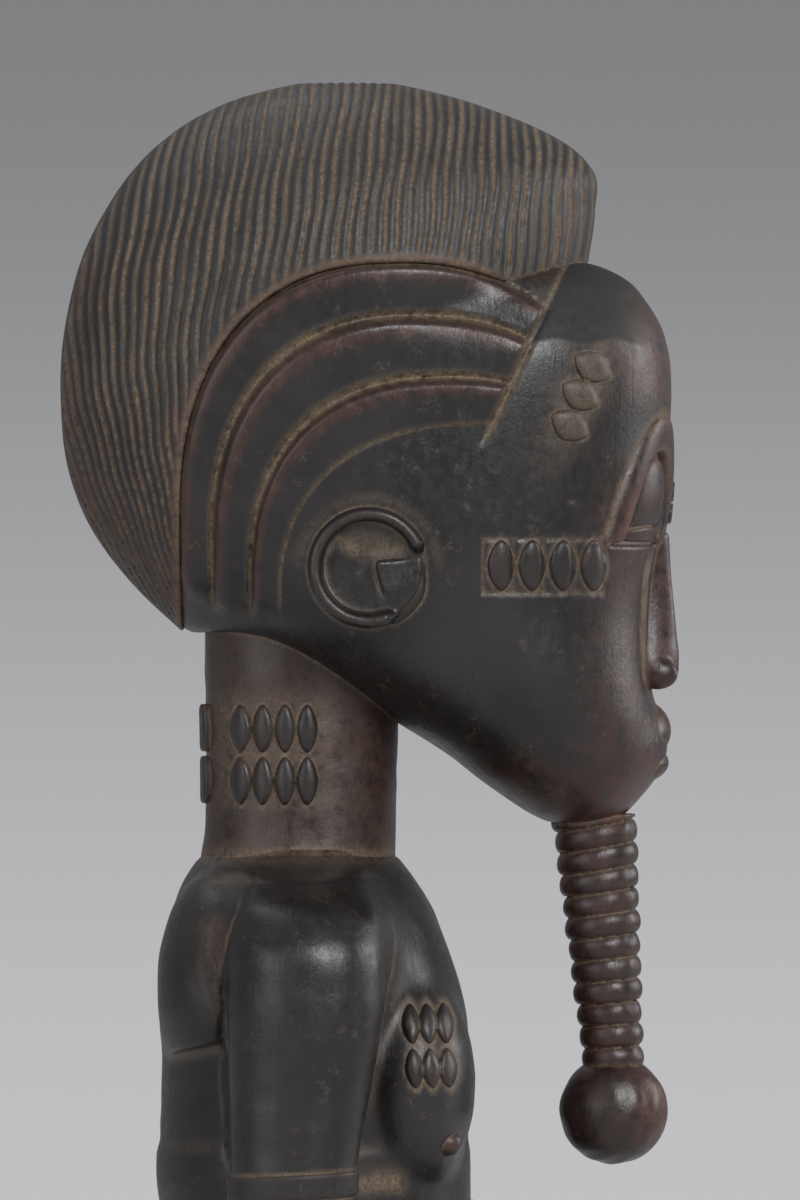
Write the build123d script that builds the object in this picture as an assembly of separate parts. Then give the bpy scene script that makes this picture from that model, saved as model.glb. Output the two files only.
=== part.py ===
"""A standing ancestor figure carved from one block of dark wood.

The figure stands on a round base with its hands on its belly.  It faces -Y and its right hand is
on the -X side.  The origin is the middle of the base's underside.  The real carving is a single
piece of wood, so nothing here moves: each node is one carved form of the block, closed on the
crease or the level where the next form begins, and neighbours meet face to face.

In this file "forward" is the distance towards the face (-Y), and all sizes are millimetres.
"""

import os
from math import cos, radians, sin

from build123d import *

# Heights, from the floor up.
BASE_HEIGHT = 26.0
FOOT_HEIGHT = 16.0
CALF_LENGTH = 56.0
THIGH_LENGTH = 48.0
HIPS_HEIGHT = 38.0
ABDOMEN_HEIGHT = 56.0
CHEST_HEIGHT = 70.0
CHIN_RISE = 7.5  # neck root to chin
HEAD_HEIGHT = 123.0  # chin to the top of the forehead
CREST_RISE = 39.5  # top of the forehead to the crown

# Widths (side to side) and depths (back to front).
BASE_RADIUS = 50.0
BASE_EDGE = 3.0
STANCE = 20.0  # middle of the figure to the middle of a leg
FOOT_WIDTH = 30.0
FOOT_DEPTH = 54.0
CALF_WIDTH = 27.0
CALF_DEPTH = 31.0
THIGH_WIDTH = 35.0
THIGH_DEPTH = 44.0
HIPS_WIDTH = 72.0
HIPS_DEPTH = 60.0
WAIST_WIDTH = 58.0
WAIST_DEPTH = 54.0
CHEST_WIDTH = 84.0
CHEST_DEPTH = 68.0
ARM_WIDTH = 30.0
ARM_DEPTH = 35.0
ARM_OUTSET = 2.5  # how far an arm's middle stands out of the chest's side
NECK_WIDTH = 40.0
NECK_DEPTH = 43.0
HEAD_WIDTH = 82.0
HEAD_DEPTH = 107.0
CREST_STAND = 3.0  # how far the hair stands out of the head's sides
CREST_OVERHANG = 25.5  # how far the hair reaches behind the head
CREST_SETBACK = 15.5  # how far the hair's front lies behind the forehead

# Forward places.
FOOT_BACK = -18.0
THIGH_BACK = -26.0
HIPS_BACK = -34.0
WAIST_BACK = -27.0
RIBS_BACK = -32.6
ARM_BACK = -18.0
NECK_FORWARD = -1.6
FACE_FORWARD = 78.8  # the forehead's foremost point

# Smaller forms.
ARMLET_HEIGHT = 6.0
ARMLET_STAND = 0.9  # how far an armlet stands out of the arm
ELBOW_DROP = 20.0  # the elbow's tip below the ribs
SHOULDER_DROP = 5.0  # an arm's top below the neck's root
FOREARM_RADIUS = 10.0
WRIST_RADIUS = 7.5
HAND_LENGTH = 27.0
HAND_WIDTH = 18.0
HAND_THICK = 12.0
BELT_HEIGHT = 8.0
BELT_STAND = 1.6
FLAP_WIDTH = 26.0
FLAP_LENGTH = 40.0
FLAP_DROP = 14.0  # how far a flap hangs below the crotch
FLAP_THICK = 3.0
BEARD_TOP_RADIUS = 9.7
BEARD_LOW_RADIUS = 7.2
BEARD_LENGTH = 53.0
BEARD_RINGS = 11
RING_DEPTH = 0.9  # how deep the cuts between the beard's rings are
BEARD_BALL_RADIUS = 11.6
EAR_RADIUS = 13.2
EAR_STAND = 5.0
EAR_RIM = 2.6
NOSE_WIDTH = 13.0
NOSE_HEIGHT = 33.0
NOSE_STAND = 6.9
EYE_LENGTH = 21.0
EYE_HEIGHT = 14.0
EYE_STAND = 3.2
BROW_WIDTH = 4.6
MOUTH_WIDTH = 13.0
LIP_RADIUS = 3.0
NIPPLE_RADIUS = 2.6
NAVEL_RADIUS = 4.6
SCAR_STAND = 1.2  # how far a scar bead stands out of the skin
TEMPLE_SCAR = (6.6, 5.0)  # length and width of each kind of bead
CHEEK_SCAR = (11.5, 5.2)
NECK_SCAR = (10.2, 4.2)
CHEST_SCAR = (9.0, 4.0)
HAIRLINE_SCAR = (9.0, 6.0)
BRIDGE_SCAR = (5.2, 5.6)
NECK_SCAR_RISE = 29.0  # the upper row of beads above the neck's root
NECK_SCAR_STEP = 11.2

# Levels that follow from the heights.
ANKLE = BASE_HEIGHT + FOOT_HEIGHT
KNEE = ANKLE + CALF_LENGTH
CROTCH = KNEE + THIGH_LENGTH
WAIST = CROTCH + HIPS_HEIGHT
RIBS = WAIST + ABDOMEN_HEIGHT
SHOULDER = RIBS + CHEST_HEIGHT
CHIN = SHOULDER + CHIN_RISE
HAIRLINE = CHIN + HEAD_HEIGHT
CROWN = HAIRLINE + CREST_RISE
HEAD_BACK = FACE_FORWARD - HEAD_DEPTH
CREST_BACK = HEAD_BACK - CREST_OVERHANG
CREST_DEPTH = CREST_OVERHANG + HEAD_DEPTH - CREST_SETBACK
CREST_WIDTH = HEAD_WIDTH + 2 * CREST_STAND
ARM_SPREAD = CHEST_WIDTH / 2 + ARM_OUTSET
RIBS_FRONT = RIBS_BACK + CHEST_DEPTH * 0.99
PECTORAL_SINK = 7.52
BLADE_SINK = 7.44
CHEST_SCARS_INSET = 11.6
NECK_TOP = CHIN + HEAD_HEIGHT * 0.42


def oval(height, back, front, half_width, centre_x=0.0):
    """A level oval from one forward place to another."""
    middle = Pos(centre_x, -(back + front) / 2, height)
    return middle * Ellipse(half_width, (front - back) / 2)


def stack(ovals, low, high, back, depth, width, centre_x=0.0):
    """A form lofted through ovals given as shares: (height, back, front, width)."""
    sections = []
    for share, share_back, share_front, share_width in ovals:
        sections.append(
            oval(
                low + share * (high - low),
                back + share_back * depth,
                back + share_front * depth,
                share_width * width / 2,
                centre_x,
            )
        )
    return loft(sections)


def mirrored(shape):
    return mirror(shape, about=Plane.YZ)


def solids_of(shape):
    """All solids of a shape, largest first, without slivers left by a cut."""
    found = [s for s in shape.solids() if s.volume > 0.02]
    return sorted(found, key=lambda s: -s.volume)


def carved(shape, *hosts):
    """The part of a form that stands outside its hosts."""
    for host in hosts:
        shape = shape - host
    return Compound(children=solids_of(shape))


def ellipsoid(half_x, half_forward, half_z):
    return scale(Sphere(1.0), by=(half_x, half_forward, half_z))


def surface_point(host, start, direction):
    """The first point of a host's skin met from outside, and the skin's outward normal."""
    hits = host.find_intersection_points(Axis(start, direction))
    point, normal = min(hits, key=lambda hit: (hit[0] - Vector(*start)).length)
    return point, normal


def bead(point, normal, length, width, stand, lean=0.0):
    """A raised scar: a long bead lying on the skin, its length upright unless it leans."""
    upright = Vector(0, 0, 1) - normal * normal.Z
    plane = Plane(origin=point, x_dir=upright.cross(normal), z_dir=normal)
    return plane * Rot(0, 0, lean) * ellipsoid(width / 2, length / 2, stand)


def side_beads(host, places, length, width, lean=0.0):
    """Beads on the -X side of a host, at (forward, height) places."""
    beads = []
    for forward, height in places:
        point, normal = surface_point(host, (-200, -forward, height), (1, 0, 0))
        beads += solids_of(bead(point, normal, length, width, SCAR_STAND, lean) - host)
    return Compound(children=beads)


def grid(forward, height, columns, rows, column_step, row_step, drift=0.0):
    """(forward, height) places of a block of beads; each lower row drifts forward."""
    return [
        (forward + c * column_step + r * drift, height - r * row_step)
        for r in range(rows)
        for c in range(columns)
    ]


# ---------------------------------------------------------------- base and legs


def make_base():
    disc = Pos(0, 0, BASE_HEIGHT / 2) * Cylinder(BASE_RADIUS, BASE_HEIGHT)
    return fillet(disc.edges().filter_by(GeomType.CIRCLE).sort_by(Axis.Z)[-1], BASE_EDGE)


def make_leg():
    """The -X leg as foot, calf and thigh, meeting on level cuts."""
    foot_ovals = (
        (0.0, 0.00, 1.00, 1.00),
        (0.30, 0.02, 0.94, 0.96),
        (0.65, 0.06, 0.68, 0.80),
        (1.0, 0.13, 0.48, 0.63),
    )
    calf_ovals = (
        (0.0, 0.22, 0.84, 0.70),
        (0.20, 0.10, 0.84, 0.80),
        (0.48, -0.02, 0.92, 1.00),
        (0.75, 0.02, 1.06, 1.00),
        (1.0, 0.34, 1.28, 0.93),
    )
    thigh_ovals = (
        (0.0, 0.43, 1.09, 0.717),
        (0.30, 0.30, 1.12, 0.83),
        (0.65, 0.12, 1.08, 0.95),
        (1.0, 0.00, 1.02, 1.00),
    )
    foot = stack(foot_ovals, BASE_HEIGHT, ANKLE, FOOT_BACK, FOOT_DEPTH, FOOT_WIDTH, -STANCE)
    calf = stack(calf_ovals, ANKLE, KNEE, FOOT_BACK, CALF_DEPTH, CALF_WIDTH, -STANCE)
    thigh = stack(thigh_ovals, KNEE, CROTCH, THIGH_BACK, THIGH_DEPTH, THIGH_WIDTH, -STANCE)
    return foot, calf, thigh


# ---------------------------------------------------------------- trunk


def hips_ovals(stand=0.0):
    """The hips' level ovals from the crotch to the waist, standing out by a cloth's thickness."""
    levels = (
        (0.0, HIPS_BACK + 2.0, HIPS_BACK + HIPS_DEPTH * 0.97, HIPS_WIDTH * 0.50),
        (0.36, HIPS_BACK, HIPS_BACK + HIPS_DEPTH, HIPS_WIDTH * 0.50),
        (0.70, HIPS_BACK + 3.0, HIPS_BACK + HIPS_DEPTH, HIPS_WIDTH * 0.455),
        (1.0, WAIST_BACK, WAIST_BACK + WAIST_DEPTH, WAIST_WIDTH / 2),
    )
    return [
        oval(CROTCH + share * HIPS_HEIGHT, back - stand, front + stand, half + stand)
        for share, back, front, half in levels
    ]


def make_trunk():
    """Hips, abdomen and chest, meeting on level cuts at the waist and the ribs."""
    ribs_half = CHEST_WIDTH * 0.44
    ribs_oval = oval(RIBS, RIBS_BACK, RIBS_FRONT, ribs_half)
    hips = loft(hips_ovals())
    waist_front = WAIST_BACK + WAIST_DEPTH
    belly = []
    for share, swell in ((0.25, 2.5), (0.50, 3.6), (0.75, 2.7)):
        back = WAIST_BACK + (RIBS_BACK - WAIST_BACK) * share
        front = waist_front + (RIBS_FRONT - waist_front) * share + swell
        half = WAIST_WIDTH / 2 + (ribs_half - WAIST_WIDTH / 2) * share
        belly.append(oval(WAIST + ABDOMEN_HEIGHT * share, back, front, half))
    abdomen = loft([hips_ovals()[-1]] + belly + [ribs_oval])
    chest_ovals = (
        (0.17, 0.005, 1.017, 0.93),
        (0.36, 0.010, 1.010, 0.98),
        (0.55, 0.000, 0.980, 1.00),
        (0.72, 0.016, 0.930, 0.98),
        (0.86, 0.046, 0.862, 0.88),
        (0.945, 0.090, 0.803, 0.72),
        (1.0, 0.134, 0.766, 0.52),
    )
    upper = [
        oval(
            RIBS + share * CHEST_HEIGHT,
            RIBS_BACK + share_back * CHEST_DEPTH,
            RIBS_BACK + share_front * CHEST_DEPTH,
            share_width * CHEST_WIDTH / 2,
        )
        for share, share_back, share_front, share_width in chest_ovals
    ]
    chest = loft([ribs_oval] + upper)
    return hips, abdomen, chest


def make_loincloth(hips, thighs):
    """A belt round the hips with a flap in front and one behind."""
    belt_low = WAIST - BELT_HEIGHT * 1.9
    band = Pos(0, 0, belt_low + BELT_HEIGHT / 2) * Box(2 * HIPS_WIDTH, 2 * HIPS_DEPTH, BELT_HEIGHT)
    belt = carved(loft(hips_ovals(BELT_STAND)) & band, hips)

    hang = belt_low + BELT_HEIGHT
    flaps = []
    for side in (-1, 1):
        cloth = loft([Pos(0, 0, -FLAP_DROP) * hips_ovals(FLAP_THICK)[0]] + hips_ovals(FLAP_THICK))
        under = loft([Pos(0, 0, -FLAP_DROP) * hips_ovals()[0]] + hips_ovals())
        block = Pos(0, side * HIPS_DEPTH / 2, hang - FLAP_LENGTH / 2)
        block = block * Box(FLAP_WIDTH, HIPS_DEPTH, FLAP_LENGTH)
        flap = carved((cloth & block) - under, hips, belt, *thighs)
        flaps.append(Compound(children=solids_of(flap)[:1]))
    return belt, *flaps


def make_pectoral(chest, abdomen, arm):
    """The -X breast: a low swelling that ends in a step over the abdomen."""
    half = CHEST_WIDTH * 0.23
    swell = Pos(-half * 0.98, -(RIBS_FRONT - PECTORAL_SINK), RIBS + CHEST_HEIGHT * 0.30)
    form = swell * ellipsoid(half, CHEST_DEPTH * 0.125, CHEST_HEIGHT * 0.33)
    keep = Pos(-100.15, 0, RIBS + 150) * Box(200, 400, 300)
    return carved(form & keep, chest, arm)


def make_shoulder_blade(chest, arm):
    """The -X shoulder blade: a rounded mass on the back that ends in a step."""
    half = CHEST_WIDTH * 0.20
    swell = Pos(-half * 1.02, -(RIBS_BACK + BLADE_SINK), RIBS + CHEST_HEIGHT * 0.62)
    form = swell * ellipsoid(half, CHEST_DEPTH * 0.13, CHEST_HEIGHT * 0.33)
    keep = Pos(-100.15, 0, 0) * Box(200, 400, 2000)
    return carved(form & keep, chest, arm)


# ---------------------------------------------------------------- arms


def make_arm(chest, abdomen):
    """The -X arm as upper arm, armlet, forearm and hand."""
    arm_ovals = (
        (0.0, 0.16, 0.70, 0.62, 1.0),
        (0.12, 0.05, 0.78, 0.74, 1.5),
        (0.32, 0.03, 0.83, 0.80, 1.5),
        (0.50, 0.02, 0.92, 0.87, 1.0),
        (0.72, 0.00, 1.00, 1.00, 0.0),
        (0.87, 0.02, 0.97, 1.00, -2.0),
        (0.955, 0.09, 0.88, 0.84, -6.0),
        (1.0, 0.20, 0.75, 0.50, -10.0),
    )
    elbow, tip = RIBS - ELBOW_DROP, SHOULDER - SHOULDER_DROP
    sections = [
        oval(
            elbow + share * (tip - elbow),
            ARM_BACK + share_back * ARM_DEPTH,
            ARM_BACK + share_front * ARM_DEPTH,
            share_width * ARM_WIDTH / 2,
            -(ARM_SPREAD + outset),
        )
        for share, share_back, share_front, share_width, outset in arm_ovals
    ]
    whole = loft(sections)
    upper_arm = carved(whole, chest, abdomen)

    band = Pos(0, 0, RIBS) * Box(4 * CHEST_WIDTH, 4 * CHEST_DEPTH, ARMLET_HEIGHT)
    wrist_box = (whole & band).bounding_box()
    hoop = Pos(wrist_box.center()) * extrude(
        Ellipse(wrist_box.size.X / 2 + ARMLET_STAND, wrist_box.size.Y / 2 + ARMLET_STAND),
        ARMLET_HEIGHT / 2,
        both=True,
    )
    armlet = Compound(children=solids_of(carved(hoop, whole, chest, abdomen))[:1])

    elbow_forward = ARM_BACK + ARM_DEPTH * 0.44
    elbow_point = Vector(-(ARM_SPREAD + 1.0), -elbow_forward, elbow + FOREARM_RADIUS * 0.75)
    wrist_point = Vector(-WAIST_WIDTH * 0.42, -(RIBS_FRONT - 0.7), elbow + 3.0)
    along = (wrist_point - elbow_point).normalized()
    tube = loft(
        [
            Plane(elbow_point, z_dir=along) * Circle(FOREARM_RADIUS),
            Plane((elbow_point + wrist_point) * 0.5, z_dir=along) * Circle(FOREARM_RADIUS * 0.95),
            Plane(wrist_point, z_dir=along) * Circle(WRIST_RADIUS),
        ]
    )
    elbow_knob = Pos(elbow_point) * Sphere(FOREARM_RADIUS)
    forearm = carved(tube + elbow_knob, whole, chest, abdomen, armlet)

    palm_point = wrist_point + along * WRIST_RADIUS * 0.9 + Vector(2.0, -1.0, 1.5)
    palm_plane = Plane(palm_point, x_dir=(1.0, -0.28, 0.16), z_dir=(-0.28, -1.0, 0.0))
    palm = palm_plane * ellipsoid(HAND_LENGTH / 2, HAND_WIDTH / 2, HAND_THICK / 2)
    keep = Pos(-100.4, 0, 0) * Box(200, 400, 2000)
    hand = carved(palm & keep, forearm, abdomen)
    return whole, upper_arm, armlet, forearm, hand


# ---------------------------------------------------------------- neck, head and hair


def make_head_masses():
    """The neck, the head and the comb-cut crest of hair."""
    head_ovals = (
        (0.000, 0.770, 0.915, 0.26),
        (0.037, 0.670, 0.945, 0.42),
        (0.100, 0.570, 0.980, 0.61),
        (0.185, 0.445, 0.985, 0.76),
        (0.285, 0.210, 0.962, 0.88),
        (0.365, 0.045, 0.955, 0.94),
        (0.470, 0.015, 0.962, 0.98),
        (0.605, 0.000, 0.998, 1.00),
        (0.735, 0.040, 1.000, 1.00),
        (0.835, 0.115, 0.988, 0.97),
        (0.915, 0.220, 0.955, 0.88),
        (0.965, 0.330, 0.915, 0.74),
        (1.000, 0.460, 0.850, 0.52),
    )
    crest_ovals = (
        (0.000, 0.255, 0.630, 0.46),
        (0.080, 0.165, 0.715, 0.68),
        (0.180, 0.078, 0.800, 0.83),
        (0.300, 0.026, 0.880, 0.94),
        (0.420, 0.002, 0.930, 0.98),
        (0.545, 0.002, 0.960, 1.00),
        (0.665, 0.036, 0.985, 0.97),
        (0.790, 0.104, 1.000, 0.87),
        (0.870, 0.181, 0.968, 0.73),
        (0.930, 0.262, 0.842, 0.58),
        (0.973, 0.355, 0.700, 0.40),
        (1.000, 0.470, 0.580, 0.14),
    )
    head_mass = stack(head_ovals, CHIN, HAIRLINE, HEAD_BACK, HEAD_DEPTH, HEAD_WIDTH)
    nape = CHIN + HEAD_HEIGHT * 0.33
    dome = stack(crest_ovals, nape, CROWN, CREST_BACK, CREST_DEPTH, CREST_WIDTH)

    # The hair over the ears stays with the head: an upright oval tunnel through the dome.
    tunnel_depth, tunnel_height = HEAD_DEPTH * 0.45, HEAD_HEIGHT * 0.455
    tunnel = Pos(0, -(HEAD_BACK + tunnel_depth), CHIN + HEAD_HEIGHT * 0.545)
    tunnel = tunnel * Rot(0, 90, 0) * extrude(
        Ellipse(tunnel_height, tunnel_depth), CREST_WIDTH, both=True
    )
    under = Pos(0, -(HEAD_BACK + tunnel_depth), CHIN) * Box(
        2 * CREST_WIDTH, 2 * tunnel_depth, HEAD_HEIGHT * 1.09
    )
    scalp = (dome & (tunnel + under)) + head_mass
    head = carved(scalp)
    crest = carved(dome, head)

    half_width, half_depth = NECK_WIDTH / 2, NECK_DEPTH / 2
    neck_levels = ((SHOULDER, 1.06), (SHOULDER + 4.0, 1.0), (NECK_TOP, 1.0))
    column = loft(
        [
            oval(
                level,
                NECK_FORWARD - half_depth * grow,
                NECK_FORWARD + half_depth * grow,
                half_width * grow,
            )
            for level, grow in neck_levels
        ]
    )
    neck = Compound(children=solids_of(carved(column, head, crest))[:1])
    return neck, head, crest


def arc_prism(share):
    """A sideways prism inside one braid line; share 0 is the crest's edge, 1 the ear side."""
    half_depth = HEAD_DEPTH * (0.45 - 0.03 * share)
    half_height = HEAD_HEIGHT * (0.455 - 0.155 * share)
    forward = HEAD_BACK + HEAD_DEPTH * (0.45 + 0.155 * share)
    height = CHIN + HEAD_HEIGHT * (0.545 - 0.14 * share)
    oval_part = Pos(0, -forward, height) * Rot(0, 90, 0)
    tunnel = oval_part * extrude(Ellipse(half_height, half_depth), CREST_WIDTH, both=True)
    below = Pos(0, -forward, height - HEAD_HEIGHT * 0.5) * Box(
        2 * CREST_WIDTH, 2 * half_depth, HEAD_HEIGHT
    )
    return tunnel + below


def make_braids(head):
    """Three raised braids on the -X side, sweeping from the temple to behind the ear.

    The braids are cut out of the head's side, so they are returned with what is left of it.
    """
    temple_low = Vector(0, -(FACE_FORWARD - 41.0), CHIN + HEAD_HEIGHT * 0.69)
    slope = radians(65.0)
    cut = Plane(temple_low, x_dir=(1, 0, 0), z_dir=(0, -sin(slope), -cos(slope)))
    behind_temple = cut * Pos(0, 0, -200) * Box(400, 400, 400)
    above_nape = Pos(0, 0, CHIN + HEAD_HEIGHT * 0.36 + 200) * Box(400, 400, 400)
    depth = HEAD_WIDTH * 0.10
    outer = Pos(-HEAD_WIDTH / 2 + depth - 100, 0, HAIRLINE) * Box(200, 400, 600)
    zone = behind_temple & above_nape & outer
    prisms = [arc_prism(share) for share in (0.0, 1 / 3, 2 / 3, 1.0)]
    braids = []
    for wide, narrow in zip(prisms, prisms[1:]):
        braids.append(solids_of((head & zone & wide) - narrow)[0])
    return braids


def make_ear(head):
    """The -X ear: a C-shaped rim round a hollow, with a small flap in front."""
    forward, height = HEAD_BACK + HEAD_DEPTH * 0.385, CHIN + HEAD_HEIGHT * 0.455
    point, normal = surface_point(head, (-200, -forward, height), (1, 0, 0))
    plane = Plane(origin=point, x_dir=(0, -1, 0), z_dir=(-1, 0, 0))
    ring = plane * (
        Pos(0, 0, -3) * extrude(Circle(EAR_RADIUS), EAR_STAND + 3)
        - Pos(1.5, 0, -6) * extrude(Circle(EAR_RADIUS - EAR_RIM), EAR_STAND + 12)
    )
    gap = plane * (Pos(EAR_RADIUS, -EAR_RADIUS * 0.55, 0) * Box(EAR_RADIUS, EAR_RADIUS, 40))
    flap = plane * Pos(EAR_RADIUS * 0.35, -EAR_RADIUS * 0.1, 0)
    flap = flap * ellipsoid(EAR_RADIUS * 0.36, EAR_RADIUS * 0.30, EAR_STAND * 0.7)
    rim = solids_of(ring - gap - head)
    lobe = solids_of(flap - head - ring)
    return Compound(children=rim[:1] + lobe[:1])


def front_point(host, across, height):
    return surface_point(host, (across, -200, height), (0, 1, 0))


def make_face(head):
    """Nose, lips, and the -X eye with the lid and brow band round it."""
    brow_level = CHIN + HEAD_HEIGHT * 0.505
    nose_tip = brow_level - NOSE_HEIGHT
    cheek_front = HEAD_BACK + HEAD_DEPTH * 0.955
    start = cheek_front - NOSE_WIDTH
    nose = loft(
        [
            oval(nose_tip, start, cheek_front + NOSE_STAND * 0.62, NOSE_WIDTH * 0.46),
            oval(nose_tip + NOSE_HEIGHT * 0.10, start, cheek_front + NOSE_STAND, NOSE_WIDTH * 0.50),
            oval(nose_tip + NOSE_HEIGHT * 0.32, start, cheek_front + NOSE_STAND, NOSE_WIDTH * 0.36),
            oval(nose_tip + NOSE_HEIGHT * 0.70, start, cheek_front + NOSE_STAND * 0.8, NOSE_WIDTH * 0.30),
            oval(brow_level, start, cheek_front + NOSE_STAND * 0.68, NOSE_WIDTH * 0.32),
        ]
    )
    nose = carved(nose, head)

    mouth_level = CHIN + HEAD_HEIGHT * 0.118
    lips = []
    for step, reach in ((1.05, 0.9), (-1.05, 0.5)):
        height = mouth_level + step * LIP_RADIUS * 0.9
        point, _ = front_point(head, 0, height)
        form = Pos(0, point.Y, height) * ellipsoid(MOUTH_WIDTH / 2, LIP_RADIUS * reach, LIP_RADIUS * 0.9)
        lips += solids_of(form - head)[:1]

    eye_level = CHIN + HEAD_HEIGHT * 0.56
    across = -HEAD_WIDTH * 0.235
    point, normal = front_point(head, across, eye_level)
    plane = Plane(origin=point, x_dir=(normal.Y, -normal.X, 0), z_dir=normal)
    ball = plane * ellipsoid(EYE_LENGTH * 0.36, EYE_HEIGHT * 0.36, EYE_STAND * 0.6)
    eye = carved(ball, head)
    outer = plane * extrude(Ellipse(EYE_LENGTH * 0.5, EYE_HEIGHT * 0.5 + BROW_WIDTH), 40, both=True)
    inner = plane * extrude(Ellipse(EYE_LENGTH * 0.40, EYE_HEIGHT * 0.40), 60, both=True)
    below = plane * Pos(0, -EYE_HEIGHT * 0.5 - 20, 0) * Box(80, 40, 80)
    low_front = front_point(head, 0, eye_level)[0].Y
    shell = Pos(0, -1.3, 0) * head
    lid = (shell - head) & (outer - inner - below)
    keep = Pos(-100 - NOSE_WIDTH * 0.30, low_front, eye_level) * Box(200, 60, 60)
    brow = Compound(children=solids_of((lid & keep) - nose - ball)[:1])
    return nose, Compound(children=lips), eye, brow


def make_beard(head):
    """The ringed beard and the ball that ends it."""
    top = Vector(0, -(FACE_FORWARD - 17.2), CHIN + 3.0)
    low = Vector(0, -(FACE_FORWARD - 12.8), CHIN - BEARD_LENGTH)
    along = (low - top).normalized()
    pitch = (low - top).length / BEARD_RINGS
    plane = Plane(top, x_dir=(1, 0, 0), z_dir=along)
    rings = []
    for ring in range(BEARD_RINGS):
        share = (ring + 0.5) / BEARD_RINGS
        radius = BEARD_TOP_RADIUS + (BEARD_LOW_RADIUS - BEARD_TOP_RADIUS) * share
        rings.append((ring * pitch, radius - RING_DEPTH))
        rings.append(((ring + 0.5) * pitch, radius))
    rings.append((BEARD_RINGS * pitch, BEARD_LOW_RADIUS - RING_DEPTH))
    outline = Polyline([(0, 0)] + [(radius, place) for place, radius in rings] + [(0, rings[-1][0])])
    profile = make_face_of(outline)
    shaft = Plane(top, x_dir=(1, 0, 0), z_dir=along) * Rot(90, 0, 0) * revolve(profile, Axis.Y)
    ball_middle = low + along * (BEARD_BALL_RADIUS * 0.88)
    ball = Pos(ball_middle) * Sphere(BEARD_BALL_RADIUS)
    ball = ball - plane * Pos(0, 0, BEARD_RINGS * pitch - 50) * Cylinder(60, 100)
    return carved(shaft, head), carved(ball)


def make_face_of(outline):
    return Face(Wire(outline.edges() + [Line(outline @ 1, outline @ 0).edge()]))


# ---------------------------------------------------------------- scar marks


def make_side_scars(head, neck, chest, pectoral):
    """Beads on the -X temple, cheek, neck and chest."""
    temple = grid(HEAD_BACK + HEAD_DEPTH * 0.795, CHIN + HEAD_HEIGHT * 0.70, 1, 3, 0, -6.0, 2.8)
    cheek = grid(HEAD_BACK + HEAD_DEPTH * 0.652, CHIN + HEAD_HEIGHT * 0.455, 4, 1, 6.8, 0)
    neck_start = NECK_FORWARD - NECK_DEPTH * 0.26
    neck_rows = grid(neck_start, SHOULDER + NECK_SCAR_RISE, 4, 2, 4.7, NECK_SCAR_STEP)
    chest_rows = grid(RIBS_FRONT - CHEST_SCARS_INSET, RIBS + CHEST_HEIGHT * 0.50, 3, 2, 4.2, 9.6, 1.0)
    swell = chest.fuse(*solids_of(pectoral))
    return {
        "temple_scars": side_beads(head, temple, *TEMPLE_SCAR, 120),
        "cheek_scars": side_beads(head, cheek, *CHEEK_SCAR),
        "neck_scars": side_beads(neck, neck_rows, *NECK_SCAR),
        "chest_scars": side_beads(swell, chest_rows, *CHEST_SCAR),
    }


def make_middle_scars(head, neck):
    """Beads on the middle line: hairline, bridge of the nose, and nape."""
    groups = []
    for levels, size in (((0.955,), HAIRLINE_SCAR), ((0.607, 0.560), BRIDGE_SCAR)):
        beads = []
        for level in levels:
            point, normal = front_point(head, 0, CHIN + HEAD_HEIGHT * level)
            beads += solids_of(bead(point, normal, *size, SCAR_STAND) - head)
        groups.append(Compound(children=beads))
    nape = []
    for row in (0, 1):
        for across in (-5.0, 0.0, 5.0):
            start = (across, 200, SHOULDER + NECK_SCAR_RISE - row * NECK_SCAR_STEP)
            point, normal = surface_point(neck, start, (0, -1, 0))
            nape += solids_of(bead(point, normal, *NECK_SCAR, SCAR_STAND) - neck)
    return *groups, Compound(children=nape)


# ---------------------------------------------------------------- the whole figure


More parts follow.
